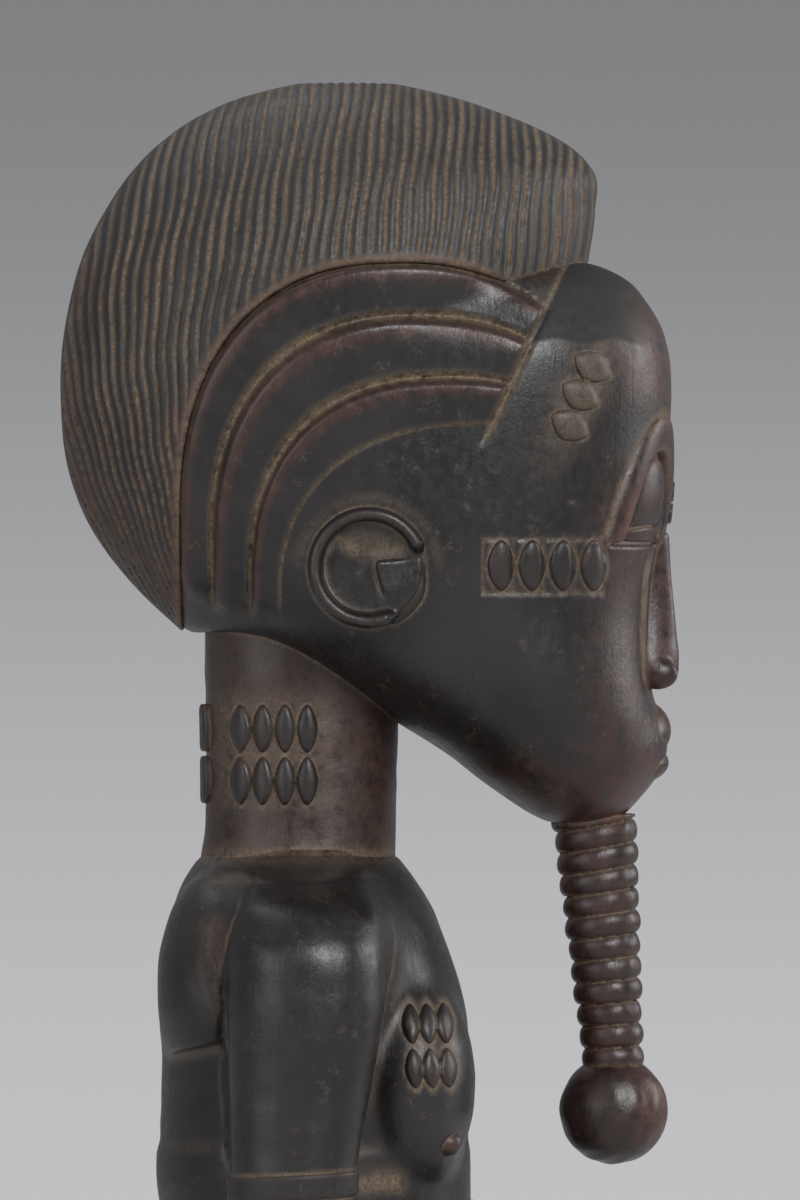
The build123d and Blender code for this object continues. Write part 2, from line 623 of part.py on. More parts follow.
def make_figure():
    nodes = {}
    hips, abdomen, chest = make_trunk()
    foot, calf, thigh = make_leg()
    whole_arm, upper_arm, armlet, forearm, hand = make_arm(chest, abdomen)
    pectoral = make_pectoral(chest, abdomen, whole_arm)
    blade = make_shoulder_blade(chest, whole_arm)
    neck, head, crest = make_head_masses()
    braids = make_braids(head)
    nose, lips, eye, brow = make_face(head)
    ear = make_ear(head)
    beard_shaft, beard_ball = make_beard(head)
    hairline_scar, bridge_scars, nape_scars = make_middle_scars(head, neck)

    sided = {
        "foot": foot,
        "calf": calf,
        "thigh": thigh,
        "upper_arm": upper_arm,
        "armlet": armlet,
        "forearm": forearm,
        "hand": hand,
        "pectoral": pectoral,
        "shoulder_blade": blade,
        "side_braids": Compound(children=braids),
        "ear": ear,
        "eye": eye,
        "brow": brow,
    }
    swell = chest.fuse(*solids_of(pectoral))
    nipple_point, _ = front_point(swell, -CHEST_WIDTH * 0.25, RIBS + CHEST_HEIGHT * 0.17)
    sided["nipple"] = carved(Pos(nipple_point) * Sphere(NIPPLE_RADIUS), swell)
    sided.update(make_side_scars(head, neck, chest, pectoral))
    for name, shape in sided.items():
        nodes["right_" + name] = shape
        nodes["left_" + name] = mirrored(shape)

    belt, front_flap, back_flap = make_loincloth(hips, (thigh, mirrored(thigh)))
    navel_point, _ = front_point(abdomen, 0, WAIST + ABDOMEN_HEIGHT * 0.42)
    nodes["base_disc"] = make_base()
    nodes["hips"] = hips
    nodes["loincloth_belt"] = belt
    nodes["loincloth_front"] = front_flap
    nodes["loincloth_back"] = back_flap
    nodes["abdomen"] = abdomen
    nodes["navel"] = carved(Pos(navel_point) * Sphere(NAVEL_RADIUS), abdomen)
    nodes["chest"] = chest
    nodes["neck"] = neck
    nodes["head"] = carved(head, *braids, *[mirrored(braid) for braid in braids])
    nodes["hair_crest"] = crest
    nodes["nose"] = nose
    nodes["lips"] = lips
    nodes["beard_shaft"] = beard_shaft
    nodes["beard_ball"] = beard_ball
    nodes["hairline_scar"] = hairline_scar
    nodes["bridge_scars"] = bridge_scars
    nodes["nape_scars"] = nape_scars
    return nodes


os.makedirs("parts", exist_ok=True)
for node_name, node_shape in make_figure().items():
    export_step(node_shape, f"parts/{node_name}.step")
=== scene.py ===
"""A standing ancestor figure carved from one block of dark wood, on a round base.

The figure faces -Y and its right hand is on the -X side.  Every form is sculpted as a distance
field in millimetres, in figure coordinates: x across, f forwards (-Y) and z up.  The field's
surface is then meshed, and each vertex carries how dusty and how rubbed the wood is there.
"""

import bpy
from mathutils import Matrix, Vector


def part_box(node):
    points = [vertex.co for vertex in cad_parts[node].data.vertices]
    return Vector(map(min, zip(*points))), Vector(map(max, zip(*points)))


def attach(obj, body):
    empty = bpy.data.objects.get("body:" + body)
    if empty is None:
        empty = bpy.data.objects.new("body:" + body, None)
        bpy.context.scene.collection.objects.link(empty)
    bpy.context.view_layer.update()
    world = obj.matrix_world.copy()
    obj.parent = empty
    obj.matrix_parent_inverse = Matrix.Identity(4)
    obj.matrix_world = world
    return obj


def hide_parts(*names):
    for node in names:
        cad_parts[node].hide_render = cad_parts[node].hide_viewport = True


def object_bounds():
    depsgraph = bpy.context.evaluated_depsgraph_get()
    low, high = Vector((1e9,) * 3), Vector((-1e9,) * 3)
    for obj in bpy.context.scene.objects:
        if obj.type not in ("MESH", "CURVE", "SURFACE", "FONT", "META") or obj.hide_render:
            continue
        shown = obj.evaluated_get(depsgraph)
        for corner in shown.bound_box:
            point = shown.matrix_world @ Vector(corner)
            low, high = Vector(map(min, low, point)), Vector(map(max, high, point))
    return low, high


bl_info = {
    "name": "Carved Standing Figure",
    "version": (1, 0, 0),
    "blender": (4, 5, 0),
    "location": "View3D > Sidebar > Carving",
    "description": "Sculpts a carved wooden figure with comb-cut hair, piece by piece",
    "category": "Add Mesh",
}

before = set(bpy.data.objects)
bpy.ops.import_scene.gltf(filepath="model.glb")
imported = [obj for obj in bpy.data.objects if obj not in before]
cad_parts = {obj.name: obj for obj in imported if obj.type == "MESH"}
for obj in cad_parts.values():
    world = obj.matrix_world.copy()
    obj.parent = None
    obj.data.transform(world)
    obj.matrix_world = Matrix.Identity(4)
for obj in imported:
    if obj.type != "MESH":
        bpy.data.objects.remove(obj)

from math import cos, pi, radians, sin
from types import SimpleNamespace

import bpy
import numpy as np
from mathutils import Vector

CAD_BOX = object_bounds()
MM = 0.001
COARSE = 4  # fine lattice steps in one coarse step
NEAR = 1.35  # coarse steps from the surface within which the fine lattice is worked out
SPARE = 2.5  # fine steps that the lattice reaches past a piece's box
PROBES = (0.7, 2.0)  # how far out and in a vertex looks for hollows and edges, in millimetres
FAR = 1e3
SIDES = ("right", "left")


# ---------------------------------------------------------------- places taken from the frame


def box_between(back, front, low, high, left=0.0, right=0.0):
    """A box in figure coordinates, in millimetres, with the measures that the forms need."""
    return SimpleNamespace(
        left=left, right=right, back=back, front=front, low=low, high=high,
        half=(right - left) / 2, depth=front - back, height=high - low,
        middle_f=(back + front) / 2, middle_z=(low + high) / 2,
    )


def span(node):
    """The box of one of the frame's nodes."""
    (left, behind, low), (right, ahead, high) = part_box(node)
    return box_between(
        -ahead / MM, -behind / MM, low / MM, high / MM, left / MM, right / MM
    )


def forward_at(box, share):
    return box.back + share * box.depth


def height_at(box, share):
    return box.low + share * box.height


def at(box, forward, height):
    """The place at these shares of a box's depth and height."""
    return forward_at(box, forward), height_at(box, height)


HEAD = span("head")
CREST = span("hair_crest")
CHEST = span("chest")
ABDOMEN = span("abdomen")
HIPS = span("hips")
NECK = span("neck")
ARM = span("right_upper_arm")
ARMLET = span("right_armlet")
HAND = span("right_hand")
THIGH = span("right_thigh")
CALF = span("right_calf")
FOOT = span("right_foot")
EAR = span("right_ear")
NOSE = span("nose")
LIPS = span("lips")
SHAFT = span("beard_shaft")
BALL = span("beard_ball")
BELT = span("loincloth_belt")
FLAP = span("loincloth_front")
BASE = span("base_disc")

# The side of the head: four nested arches that bound the three braids, widest first.  Each is
# (middle forward, middle height, half depth, half height) as shares of the head's box.
ARCH_POWER = 2.35
ARCHES = (
    (0.449, 0.541, 0.450, 0.456),
    (0.486, 0.491, 0.421, 0.411),
    (0.541, 0.425, 0.397, 0.368),
    (0.634, 0.398, 0.425, 0.307),
)

# Sizes in millimetres that the settings below can change.
cut = SimpleNamespace(comb_pitch=2.5, comb_depth=0.7, braid_height=1.9, scar_height=1.4)


# ---------------------------------------------------------------- fields


def smooth_min(a, b, k):
    h = np.maximum(k - np.abs(a - b), 0.0) / k
    return np.minimum(a, b) - h * h * k * 0.25


def smooth_max(a, b, k):
    return -smooth_min(-a, -b, k)


def ramp(value, start, end):
    """0 before start, 1 after end, smooth between."""
    t = np.clip((value - start) / (end - start), 0.0, 1.0)
    return t * t * (3.0 - 2.0 * t)


def ellipsoid(x, f, z, middle, radii):
    a, b, c = ((p - m) / r for p, m, r in zip((x, f, z), middle, radii))
    size = np.sqrt(a * a + b * b + c * c) + 1e-6
    slope = np.sqrt((a / radii[0]) ** 2 + (b / radii[1]) ** 2 + (c / radii[2]) ** 2) + 1e-6
    return size * (size - 1.0) / slope


def rod(x, f, z, start, end, radius, end_radius=None):
    """A round-ended rod, tapered if an end radius is given."""
    end_radius = radius if end_radius is None else end_radius
    way = np.subtract(end, start)
    offset = (x - start[0], f - start[1], z - start[2])
    along = sum(o * w for o, w in zip(offset, way)) / np.dot(way, way)
    along = np.clip(along, 0.0, 1.0)
    gap = np.sqrt(sum((o - along * w) ** 2 for o, w in zip(offset, way)))
    return gap - (radius + (end_radius - radius) * along)


def slab(value, low, high):
    """Distance outside a range."""
    return np.maximum(low - value, value - high)


def roundness(a, b, power):
    """How far out a place is in a rounded square: 1 on its edge."""
    return (a**power + b**power) ** (1.0 / power)


def turned(f, z, place, degrees):
    """Coordinates along and across a slanting direction through a place."""
    turn = radians(degrees)
    return (
        (f - place[0]) * cos(turn) + (z - place[1]) * sin(turn),
        (z - place[1]) * cos(turn) - (f - place[0]) * sin(turn),
    )


class Stack:
    """A form through level ovals, each (height, back, front, half width, middle x) in shares.

    Shares of height and depth are of the box; widths and middles are in millimetres.
    """

    def __init__(self, box, rows, power=2.0, end=2.0):
        table = np.array([row if len(row) == 5 else (*row, 0.0) for row in rows], float)
        levels = height_at(box, table[:, 0])
        middle = box.back + (table[:, 1] + table[:, 2]) * 0.5 * box.depth
        half = (table[:, 2] - table[:, 1]) * 0.5 * box.depth
        self.levels = np.linspace(levels[0], levels[-1], 400)
        self.columns = [
            hermite(self.levels, levels, column)
            for column in (middle, half, table[:, 3], table[:, 4])
        ]
        self.power, self.end = power, end

    def __call__(self, x, f, z):
        middle, depth, width, across = (
            np.interp(z, self.levels, column) for column in self.columns
        )
        a, b = np.abs(x - across) / width, np.abs(f - middle) / depth
        size = roundness(a, b, self.power) + 1e-6
        slope = np.sqrt((a / width) ** 2 + (b / depth) ** 2) + 1e-6 / np.minimum(width, depth)
        side = size * (size - 1.0) / slope
        return smooth_max(side, slab(z, self.levels[0], self.levels[-1]), self.end)


def hermite(at_levels, levels, values):
    """A smooth curve through the values, with the slopes of their neighbours."""
    slopes = np.gradient(values, levels)
    index = np.clip(np.searchsorted(levels, at_levels) - 1, 0, len(levels) - 2)
    step = levels[index + 1] - levels[index]
    t = (at_levels - levels[index]) / step
    start, end = values[index], values[index + 1]
    leave, arrive = slopes[index] * step, slopes[index + 1] * step
    return (
        start * (2 * t**3 - 3 * t**2 + 1)
        + leave * (t**3 - 2 * t**2 + t)
        + end * (3 * t**2 - 2 * t**3)
        + arrive * (t**3 - t**2)
    )


def unevenness(x, f, z):
    """The slow wander of a hand-cut surface, in millimetres."""
    return 0.22 * (
        np.sin(0.11 * x + 0.07 * z + 1.0) * np.sin(0.09 * f - 0.05 * z)
        + 0.6 * np.sin(0.23 * f + 0.17 * x + 2.0) * np.sin(0.19 * z + 0.4)
    )


def facets(x, f, z, size, depth):
    """Shallow overlapping gouge cuts about so many millimetres across."""
    k = pi / size
    drift = 0.7 * np.sin(0.31 * k * (x + f)) + 0.5 * np.sin(0.43 * k * z)
    rows = np.sin(k * (0.92 * z + 0.31 * f + 0.2 * x) + drift) ** 2
    cross = np.sin(k * (0.85 * f - 0.42 * z + 0.5 * x) - drift * 1.3) ** 2
    return depth * (rows * cross)


def groove(distance, width):
    """1 on a line, falling to 0 at about the given half width."""
    return np.exp(-((distance / width) ** 2))


# ---------------------------------------------------------------- head and hair

SKULL_ROWS = (
    (0.000, 0.747, 0.890, 0.24), (0.026, 0.698, 0.922, 0.36), (0.076, 0.614, 0.960, 0.54),
    (0.120, 0.549, 0.974, 0.64), (0.170, 0.459, 0.974, 0.73), (0.235, 0.338, 0.966, 0.82),
    (0.300, 0.207, 0.960, 0.88), (0.370, 0.058, 0.960, 0.93), (0.450, 0.011, 0.967, 0.97),
    (0.520, 0.003, 0.984, 0.99), (0.605, 0.002, 0.999, 1.00), (0.700, 0.030, 1.003, 1.00),
    (0.775, 0.070, 1.006, 0.99), (0.845, 0.120, 0.999, 0.96), (0.892, 0.180, 0.982, 0.91),
    (0.930, 0.245, 0.955, 0.84), (0.967, 0.330, 0.918, 0.74), (1.000, 0.460, 0.853, 0.52),
)
DOME_ROWS = (
    (0.000, 0.235, 0.630, 0.46), (0.085, 0.140, 0.720, 0.69), (0.188, 0.055, 0.805, 0.84),
    (0.289, 0.011, 0.875, 0.93), (0.440, -0.008, 0.935, 0.985), (0.592, 0.006, 0.965, 0.985),
    (0.693, 0.036, 0.985, 0.95), (0.768, 0.075, 0.996, 0.88), (0.844, 0.130, 0.991, 0.77),
    (0.894, 0.182, 0.936, 0.66), (0.945, 0.261, 0.820, 0.52), (0.975, 0.335, 0.727, 0.40),
    (0.999, 0.430, 0.625, 0.24),
)
NAPE = height_at(HEAD, 0.33)
CREST_HALF = CREST.half + 0.7


def widened(rows, half):
    return [(height, back, front, share * half) for height, back, front, share in rows]


skull = Stack(HEAD, widened(SKULL_ROWS, HEAD.half - 0.3), power=2.25, end=3.0)
dome_box = box_between(CREST.back, CREST.front, NAPE, CREST.high)
dome = Stack(dome_box, widened(DOME_ROWS, CREST_HALF), power=2.1, end=1.6)


def arch(index, f, z):
    """Distance outside one arch over the ear; below its middle its sides run straight down."""
    forward, height, half_depth, half_height = ARCHES[index]
    middle_f, middle_z = at(HEAD, forward, height)
    a = half_depth * HEAD.depth
    b = half_height * HEAD.height
    u, v = np.abs(f - middle_f) / a, np.maximum(z - middle_z, 0.0) / b
    return (roundness(u, v, ARCH_POWER) - 1.0) * min(a, b)


def temple_line(f, z):
    """Distance behind the slanting line where the braids end on the temple."""
    top_f, top_z = at(HEAD, 0.759, 0.935)
    low_f, low_z = at(HEAD, 0.623, 0.684)
    run_f, run_z = top_f - low_f, top_z - low_z
    length = (run_f**2 + run_z**2) ** 0.5
    return ((z - low_z) * run_f - (f - low_f) * run_z) / length


def braid_share(f, z):
    """Which braid a place is in: 0 on the crest's edge, 3 on the innermost line."""
    outside = [arch(index, f, z) for index in range(4)]
    share = np.where(outside[0] > 0, -0.01, 3.01)
    for index in range(3):
        within = (outside[index] <= 0) & (outside[index + 1] > 0)
        part = -outside[index] / (outside[index + 1] - outside[index] + 1e-6)
        share = np.where(within, index + part, share)
    return share


def braid_zone(f, z):
    """1 where the braids are, 0 elsewhere, with soft edges."""
    share = braid_share(f, z)
    band = ramp(share, -0.02, 0.02) * (1.0 - ramp(share, 2.94, 3.0))
    front = ramp(temple_line(f, z), 0.0, 0.8)
    low = ramp(z, height_at(HEAD, 0.36), height_at(HEAD, 0.40))
    return band * front * low, share


def comb_phase(x, f, z):
    """Comb strokes run on arcs through the nape and a point above the crown."""
    nape_f, nape_z = at(HEAD, 0.089, 0.220)
    over_f, over_z = at(HEAD, 0.375, 1.883)
    to_nape = (nape_f - f, nape_z - z)
    to_over = (over_f - f, over_z - z)
    cross = to_nape[0] * to_over[1] - to_nape[1] * to_over[0]
    dot = to_nape[0] * to_over[0] + to_nape[1] * to_over[1]
    angle = np.mod(np.arctan2(cross, dot), 2 * pi)
    half = 0.5 * ((nape_f - over_f) ** 2 + (nape_z - over_z) ** 2) ** 0.5
    side = half / np.tan(np.clip(angle, 0.02, 2 * pi - 0.02) / 2)
    wander = 0.5 * np.sin(0.09 * z + 0.05 * f) + 0.25 * np.sin(0.31 * z - 0.2 * f)
    return (side + wander) / cut.comb_pitch


def comb_cut(x, f, z):
    """How deep a comb stroke is here, 0 to 1."""
    phase = comb_phase(x, f, z)
    offset = np.abs(phase - np.round(phase))
    strength = 0.78 + 0.22 * np.sin(1.7 * np.round(phase) + 0.12 * z)
    plain = ramp(np.abs(x), 2.0, 4.5) * ramp(arch(0, f, z), 0.4, 2.4)
    return np.exp(-((offset / 0.19) ** 2)) * strength * plain


def crest_field(x, f, z):
    body = smooth_max(dome(x, f, z), -arch(0, f, z) - 0.5, 1.0)
    return body + cut.comb_depth * comb_cut(x, f, z) + 0.5 * unevenness(x, f, z)


# The heights between which the temple's slanting line fades in.
TEMPLE_EDGE = (height_at(HEAD, 0.66), height_at(HEAD, 0.70))


def braid_relief(f, z):
    """Height of the braids: a rounded ridge near the outer edge that slopes in to a groove."""
    zone, share = braid_zone(f, z)
    part = share - np.floor(share)
    rise = ramp(part, 0.0, 0.20) - 0.75 * ramp(part, 0.22, 1.0)
    line = groove(np.minimum(part, 1.0 - part), 0.06)
    temple = groove(temple_line(f, z) - 0.2, 0.8) * ramp(z, *TEMPLE_EDGE)
    return zone * (cut.braid_height * rise - 0.8 * line) - 0.8 * temple * ramp(share, -0.02, 0.02)


CHEEK_LOW, CHEEK_HIGH = height_at(HEAD, 0.412), height_at(HEAD, 0.507)
CHEEK_BACK, CHEEK_FRONT = forward_at(HEAD, 0.615), forward_at(HEAD, 0.862)
EYE_ACROSS = HEAD.half * 0.40
EYE_LOW = height_at(HEAD, 0.497)
EYE_LEAN = 0.12
EYE_POWER = 2.5


def cheek_lines(f, z):
    """The cut lines of the cheek's scar block: two level lines and five upright ones."""
    inside = ramp(f, CHEEK_BACK - 0.8, CHEEK_BACK) * (1 - ramp(f, CHEEK_FRONT, CHEEK_FRONT + 0.8))
    level = groove(z - CHEEK_HIGH, 0.6) + 0.8 * groove(z - CHEEK_LOW, 0.6)
    cell = (f - CHEEK_BACK) / ((CHEEK_FRONT - CHEEK_BACK) / 4)
    upright = groove((cell - np.round(cell)) * 6.6, 0.6)
    upright = upright * ramp(z, CHEEK_LOW - 0.6, CHEEK_LOW)
    upright = upright * (1 - ramp(z, CHEEK_HIGH, CHEEK_HIGH + 0.6))
    return np.minimum(level + upright, 1.0) * inside


def eye_arch(x, z, half_width, height):
    """Distance outside an eye's arch, whose top leans towards the nose."""
    rise = z - EYE_LOW
    u = np.abs(np.abs(x) - EYE_ACROSS + EYE_LEAN * rise) / half_width
    v = np.maximum(rise, 0.0) / height
    return (roundness(u, v, EYE_POWER) - 1.0) * min(half_width, height)


def face_relief(x, f, z):
    """Small steps of the face: eye sockets, brow step and mouth corners, positive outwards."""
    front = ramp(f, HEAD.front - 22, HEAD.front - 16)
    socket = 1 - ramp(eye_arch(x, z, 10.8, 24.5), -1.5, 0.5)
    socket = socket * ramp(z, EYE_LOW - 1.0, EYE_LOW + 0.5)
    step = ramp(z, EYE_LOW - 0.8, EYE_LOW + 0.6) * (1 - ramp(z, EYE_LOW + 3, EYE_LOW + 14))
    beside_nose = groove(np.abs(x) - 10.5, 3.5) * ramp(z, NOSE.low - 3, NOSE.low + 4)
    beside_nose = beside_nose * (1 - ramp(z, EYE_LOW - 4, EYE_LOW))
    return front * (0.5 * step - 1.6 * socket - 0.9 * beside_nose)


MOUTH = height_at(LIPS, 0.62)


def head_field(x, f, z):
    scalp = smooth_max(dome(x, f, z) + 1.3, arch(0, f, z), 0.8)
    muzzle = ellipsoid(x, f, z, (0, HEAD.front - 13.5, MOUTH + 1.5), (15.0, 13.0, 11.0))
    body = smooth_min(smooth_min(skull(x, f, z), muzzle, 4.0), scalp, 4.0)
    side = ramp(np.abs(x), 18.0, 26.0)
    body = body - side * braid_relief(f, z) + 0.45 * side * cheek_lines(f, z)
    return body - face_relief(x, f, z) + 0.4 * unevenness(x, f, z)


NOSE_ROWS = (
    (0.04, 0.00, 0.82, 4.9), (0.10, 0.00, 0.955, 6.0), (0.19, 0.00, 0.985, 6.4),
    (0.38, 0.00, 0.955, 4.9), (0.58, 0.00, 0.915, 3.9), (0.78, 0.00, 0.875, 3.7),
    (1.00, 0.00, 0.85, 4.4), (1.06, 0.00, 0.84, 4.8),
)
nose_box = box_between(HEAD.front - 13, NOSE.front, NOSE.low, NOSE.high)
nose_ridge = Stack(nose_box, NOSE_ROWS, power=1.7, end=1.5)


def nose_field(x, f, z):
    wing_f, wing_z = NOSE.front - 5.0, NOSE.low + 3.6
    wing = ellipsoid(np.abs(x), f, z, (4.6, wing_f, wing_z), (2.5, 4.4, 3.4))
    body = smooth_min(nose_ridge(x, f, z), wing, 1.4)
    nostril = ellipsoid(np.abs(x), f, z, (3.0, wing_f + 0.8, NOSE.low + 0.8), (1.4, 1.9, 1.5))
    return smooth_max(body, -nostril, 0.8)


def lips_field(x, f, z):
    """Full lips that carry on the muzzle, with a shallow slit between them."""
    level = z - MOUTH + 0.010 * x * x
    upper = ellipsoid(x, f, level, (0, HEAD.front - 8.0, 4.4), (12.0, 8.5, 7.4))
    lower = ellipsoid(x, f, level, (0, HEAD.front - 8.6, -2.6), (10.5, 8.6, 4.9))
    return smooth_min(upper, lower, 1.0) + 0.8 * groove(level, 0.6)


def brow_field(x, f, z):
    """The lid band: a raised arch over each eye, lying on the face."""
    skin = skull(x, f, z)
    outer = eye_arch(x, z, 13.0, 28.4)
    inner = eye_arch(x, z, 8.6, 20.3)
    ring = smooth_max(outer, -inner, 1.2)
    ring = smooth_max(ring, EYE_LOW + 0.2 - z, 1.0)
    band = smooth_max(smooth_max(ring, skin - 1.15, 1.6), -skin - 4.0, 0.5)
    return np.maximum(band, HEAD.front - 24 - f)


def eye_field(x, f, z):
    """A half-closed eye: a heavy upper lid, a slit and a narrow lower lid."""
    skin = skull(x, f, z)
    rise = z - EYE_LOW
    across = np.abs(x) - EYE_ACROSS + EYE_LEAN * rise
    slit = 4.2 - 0.02 * across * across
    bulge = 1.4 - 0.018 * across**2 - 0.012 * (rise - 9.0) ** 2
    body = smooth_max(eye_arch(x, z, 8.1, 19.2), skin - bulge + 0.7, 1.4)
    body = smooth_max(body, 0.7 - rise, 0.6)
    body = np.maximum(smooth_max(body, -skin - 4.0, 0.5), HEAD.front - 24 - f)
    return body + 0.9 * groove(rise - slit, 0.55)


def ear_field(x, f, z):
    """A C-shaped rim round a hollow bowl, into which a wedge of the cheek runs from the front."""
    a, b = EAR.depth / 2, EAR.height / 2
    outset = np.abs(x) - (HEAD.half - 1.5)
    u, v = f - EAR.middle_f, z - EAR.middle_z
    radius = np.sqrt((u / a) ** 2 + (v / b) ** 2) + 1e-6
    gap = (radius - 1.0) * a
    turn = np.arctan2(v / b, u / a)
    open_front = ramp(turn, -1.25, -0.85) * (1 - ramp(turn, 0.15, 0.45))
    thick = 1.55 * (1 - 0.75 * open_front)
    stand = 3.4 - 2.6 * open_front
    rim = np.sqrt((gap + 1.6) ** 2 + 0.55 * np.maximum(outset - stand + 1.5, 0) ** 2) - thick
    rim = smooth_max(rim, -outset - 5.0, 0.5)
    bowl = smooth_max(gap + 1.8, slab(outset, -5.0, 0.2 + 0.09 * (u - v)), 0.6)
    wedge = smooth_max(1.7 + 0.28 * np.maximum(-v, 0) - u, v - 1.3 - 0.06 * u, 0.6)
    wedge = smooth_max(wedge, gap - 0.3, 1.0)
    wedge = smooth_max(wedge, slab(u, 1.6, 12.4), 0.9)
    top = 2.5 - 0.17 * u + 0.2 * np.minimum(v + 4.0, 0)
    wedge = smooth_max(wedge, slab(outset, -5.0, top), 0.8)
    return smooth_min(smooth_min(rim, bowl, 1.0), wedge, 0.6)


# ---------------------------------------------------------------- beard

BEARD_RINGS = 11


def beard_axis(z):
    share = np.clip((SHAFT.high - z) / SHAFT.height, -0.1, 1.1)
    top = SHAFT.middle_f - 0.2
    return top + share * (BALL.middle_f - top), share


def beard_field(x, f, z):
    forward, share = beard_axis(z)
    lean = np.tan(radians(11.0)) * (1 - share) + np.tan(radians(3.0)) * share
    low = BALL.high - 1.4
    pitch = (HEAD.low - 0.5 - low) / BEARD_RINGS
    ring = (z - low - lean * (f - forward)) / pitch
    part = ring - np.floor(ring)
    swell = np.sqrt(np.maximum(1.0 - (2 * part - 1.0) ** 2, 0.0)) - 0.35 * part
    top_radius, low_radius = 9.8, 7.0
    radius = top_radius + (low_radius - top_radius) * share + 0.12 * np.sin(2.4 * np.floor(ring))
    gap = np.sqrt(x * x + (f - forward) ** 2)
    notch = 1.35 * (1 - swell)
    body = gap - radius + notch + facets(x, f, z, 7.0, 0.2)
    return smooth_max(body, slab(z, low - 2.5, SHAFT.high), 0.8)


def ball_field(x, f, z):
    radius = BALL.half + 0.35
    middle = (0.0, BALL.middle_f, BALL.high - radius + 1.3)
    return ellipsoid(x, f, z, middle, (radius, radius, radius)) + facets(x, f, z, 6.5, 0.22)


# ---------------------------------------------------------------- neck and trunk

NECK_ROWS = (
    (-0.12, -0.01, 0.945, 21.4), (0.00, 0.010, 0.950, 20.9), (0.10, 0.028, 0.953, 20.3),
    (0.22, 0.035, 0.956, 20.0), (0.45, 0.035, 0.960, 19.8),
    (0.75, 0.03, 0.97, 20.0), (1.00, 0.03, 0.97, 20.4), (1.35, 0.06, 0.94, 19.0),
)
neck_column = Stack(NECK, NECK_ROWS, power=2.15, end=1.0)


def neck_field(x, f, z):
    return neck_column(x, f, z) + 0.8 * unevenness(x, f, z) + facets(x, f, z, 9.0, 0.2)


CHEST_ROWS = (
    (-0.10, 0.020, 0.955, 0.87), (0.00, 0.005, 0.958, 0.88), (0.06, 0.004, 0.970, 0.89),
    (0.17, 0.006, 0.980, 0.92), (0.36, 0.012, 0.982, 0.95), (0.55, 0.003, 0.966, 0.95),
    (0.72, 0.020, 0.912, 0.93), (0.85, 0.048, 0.860, 0.86), (0.93, 0.080, 0.812, 0.74),
    (0.985, 0.115, 0.772, 0.56), (1.01, 0.132, 0.755, 0.46),
)
ribcage = Stack(CHEST, widened(CHEST_ROWS, CHEST.half), power=2.3, end=2.0)
BELLY_ROWS = (
    (-0.10, 0.105, 0.865, 28.0), (0.00, 0.085, 0.880, 29.0), (0.25, 0.064, 0.935, 31.0),
    (0.50, 0.043, 0.975, 33.0), (0.75, 0.021, 0.985, 35.0), (1.00, 0.005, 0.985, 37.0),
    (1.08, 0.005, 0.975, 37.0),
)
belly = Stack(ABDOMEN, BELLY_ROWS, power=2.2, end=2.0)

ARM_MIDDLE = -ARM.left - 15.0
ARM_ROWS = (
    (0.000, 0.18, 0.70, 9.3, 1.0), (0.12, 0.06, 0.78, 11.3, 1.4), (0.26, 0.035, 0.81, 12.2, 1.4),
    (0.32, 0.04, 0.83, 12.3, 1.4), (0.50, 0.03, 0.91, 13.2, 1.0), (0.72, 0.01, 0.985, 15.0, 0.0),
    (0.87, 0.03, 0.955, 14.8, -2.4), (0.955, 0.10, 0.86, 12.0, -7.0),
    (1.00, 0.20, 0.75, 8.0, -11.0),
)
arm_form = Stack(ARM, [(*row[:4], row[4] + ARM_MIDDLE) for row in ARM_ROWS], 2.15, 3.5)
BLADE_LOW = height_at(CHEST, 0.385)
PEC_LOW = height_at(CHEST, 0.025)


def arm_shape(x, f, z):
    return arm_form(np.abs(x), f, z)


# The line behind each arm where the wood has split, as (height, forward) shares of the chest.
CRACK_PLACES = ((0.06, 0.235), (0.34, 0.219), (0.61, 0.213), (0.76, 0.235), (1.01, 0.339))


def arm_crack(x, f, z):
    """1 on the split behind the arm."""
    forwards, levels = zip(*(at(CHEST, forward, height) for height, forward in CRACK_PLACES))
    line = np.interp(z, levels, forwards) + 0.2 * np.sin(0.5 * z)
    ends = ramp(z, levels[0] - 3, levels[0] + 3) * (1 - ramp(z, levels[-1] - 6, levels[-1]))
    return groove(f - line, 0.60) * ends * ramp(np.abs(x), 16.0, 24.0)


def pectoral(x, f, z):
    """The breasts: low swellings that end in a step over the belly."""
    middle = (19.0, CHEST.front - 15.0, height_at(CHEST, 0.30))
    form = ellipsoid(np.abs(x), f, z, middle, (21.0, 14.6, 24.5))
    return smooth_max(form, PEC_LOW - 0.15 * (CHEST.front - f) - z, 1.6)


def shoulder_blade(x, f, z):
    middle = (19.0, CHEST.back + 13.0, height_at(CHEST, 0.61))
    form = ellipsoid(np.abs(x), f, z, middle, (20.0, 12.6, 24.5))
    return smooth_max(form, BLADE_LOW + 0.25 * (f - CHEST.back) - z, 1.2)


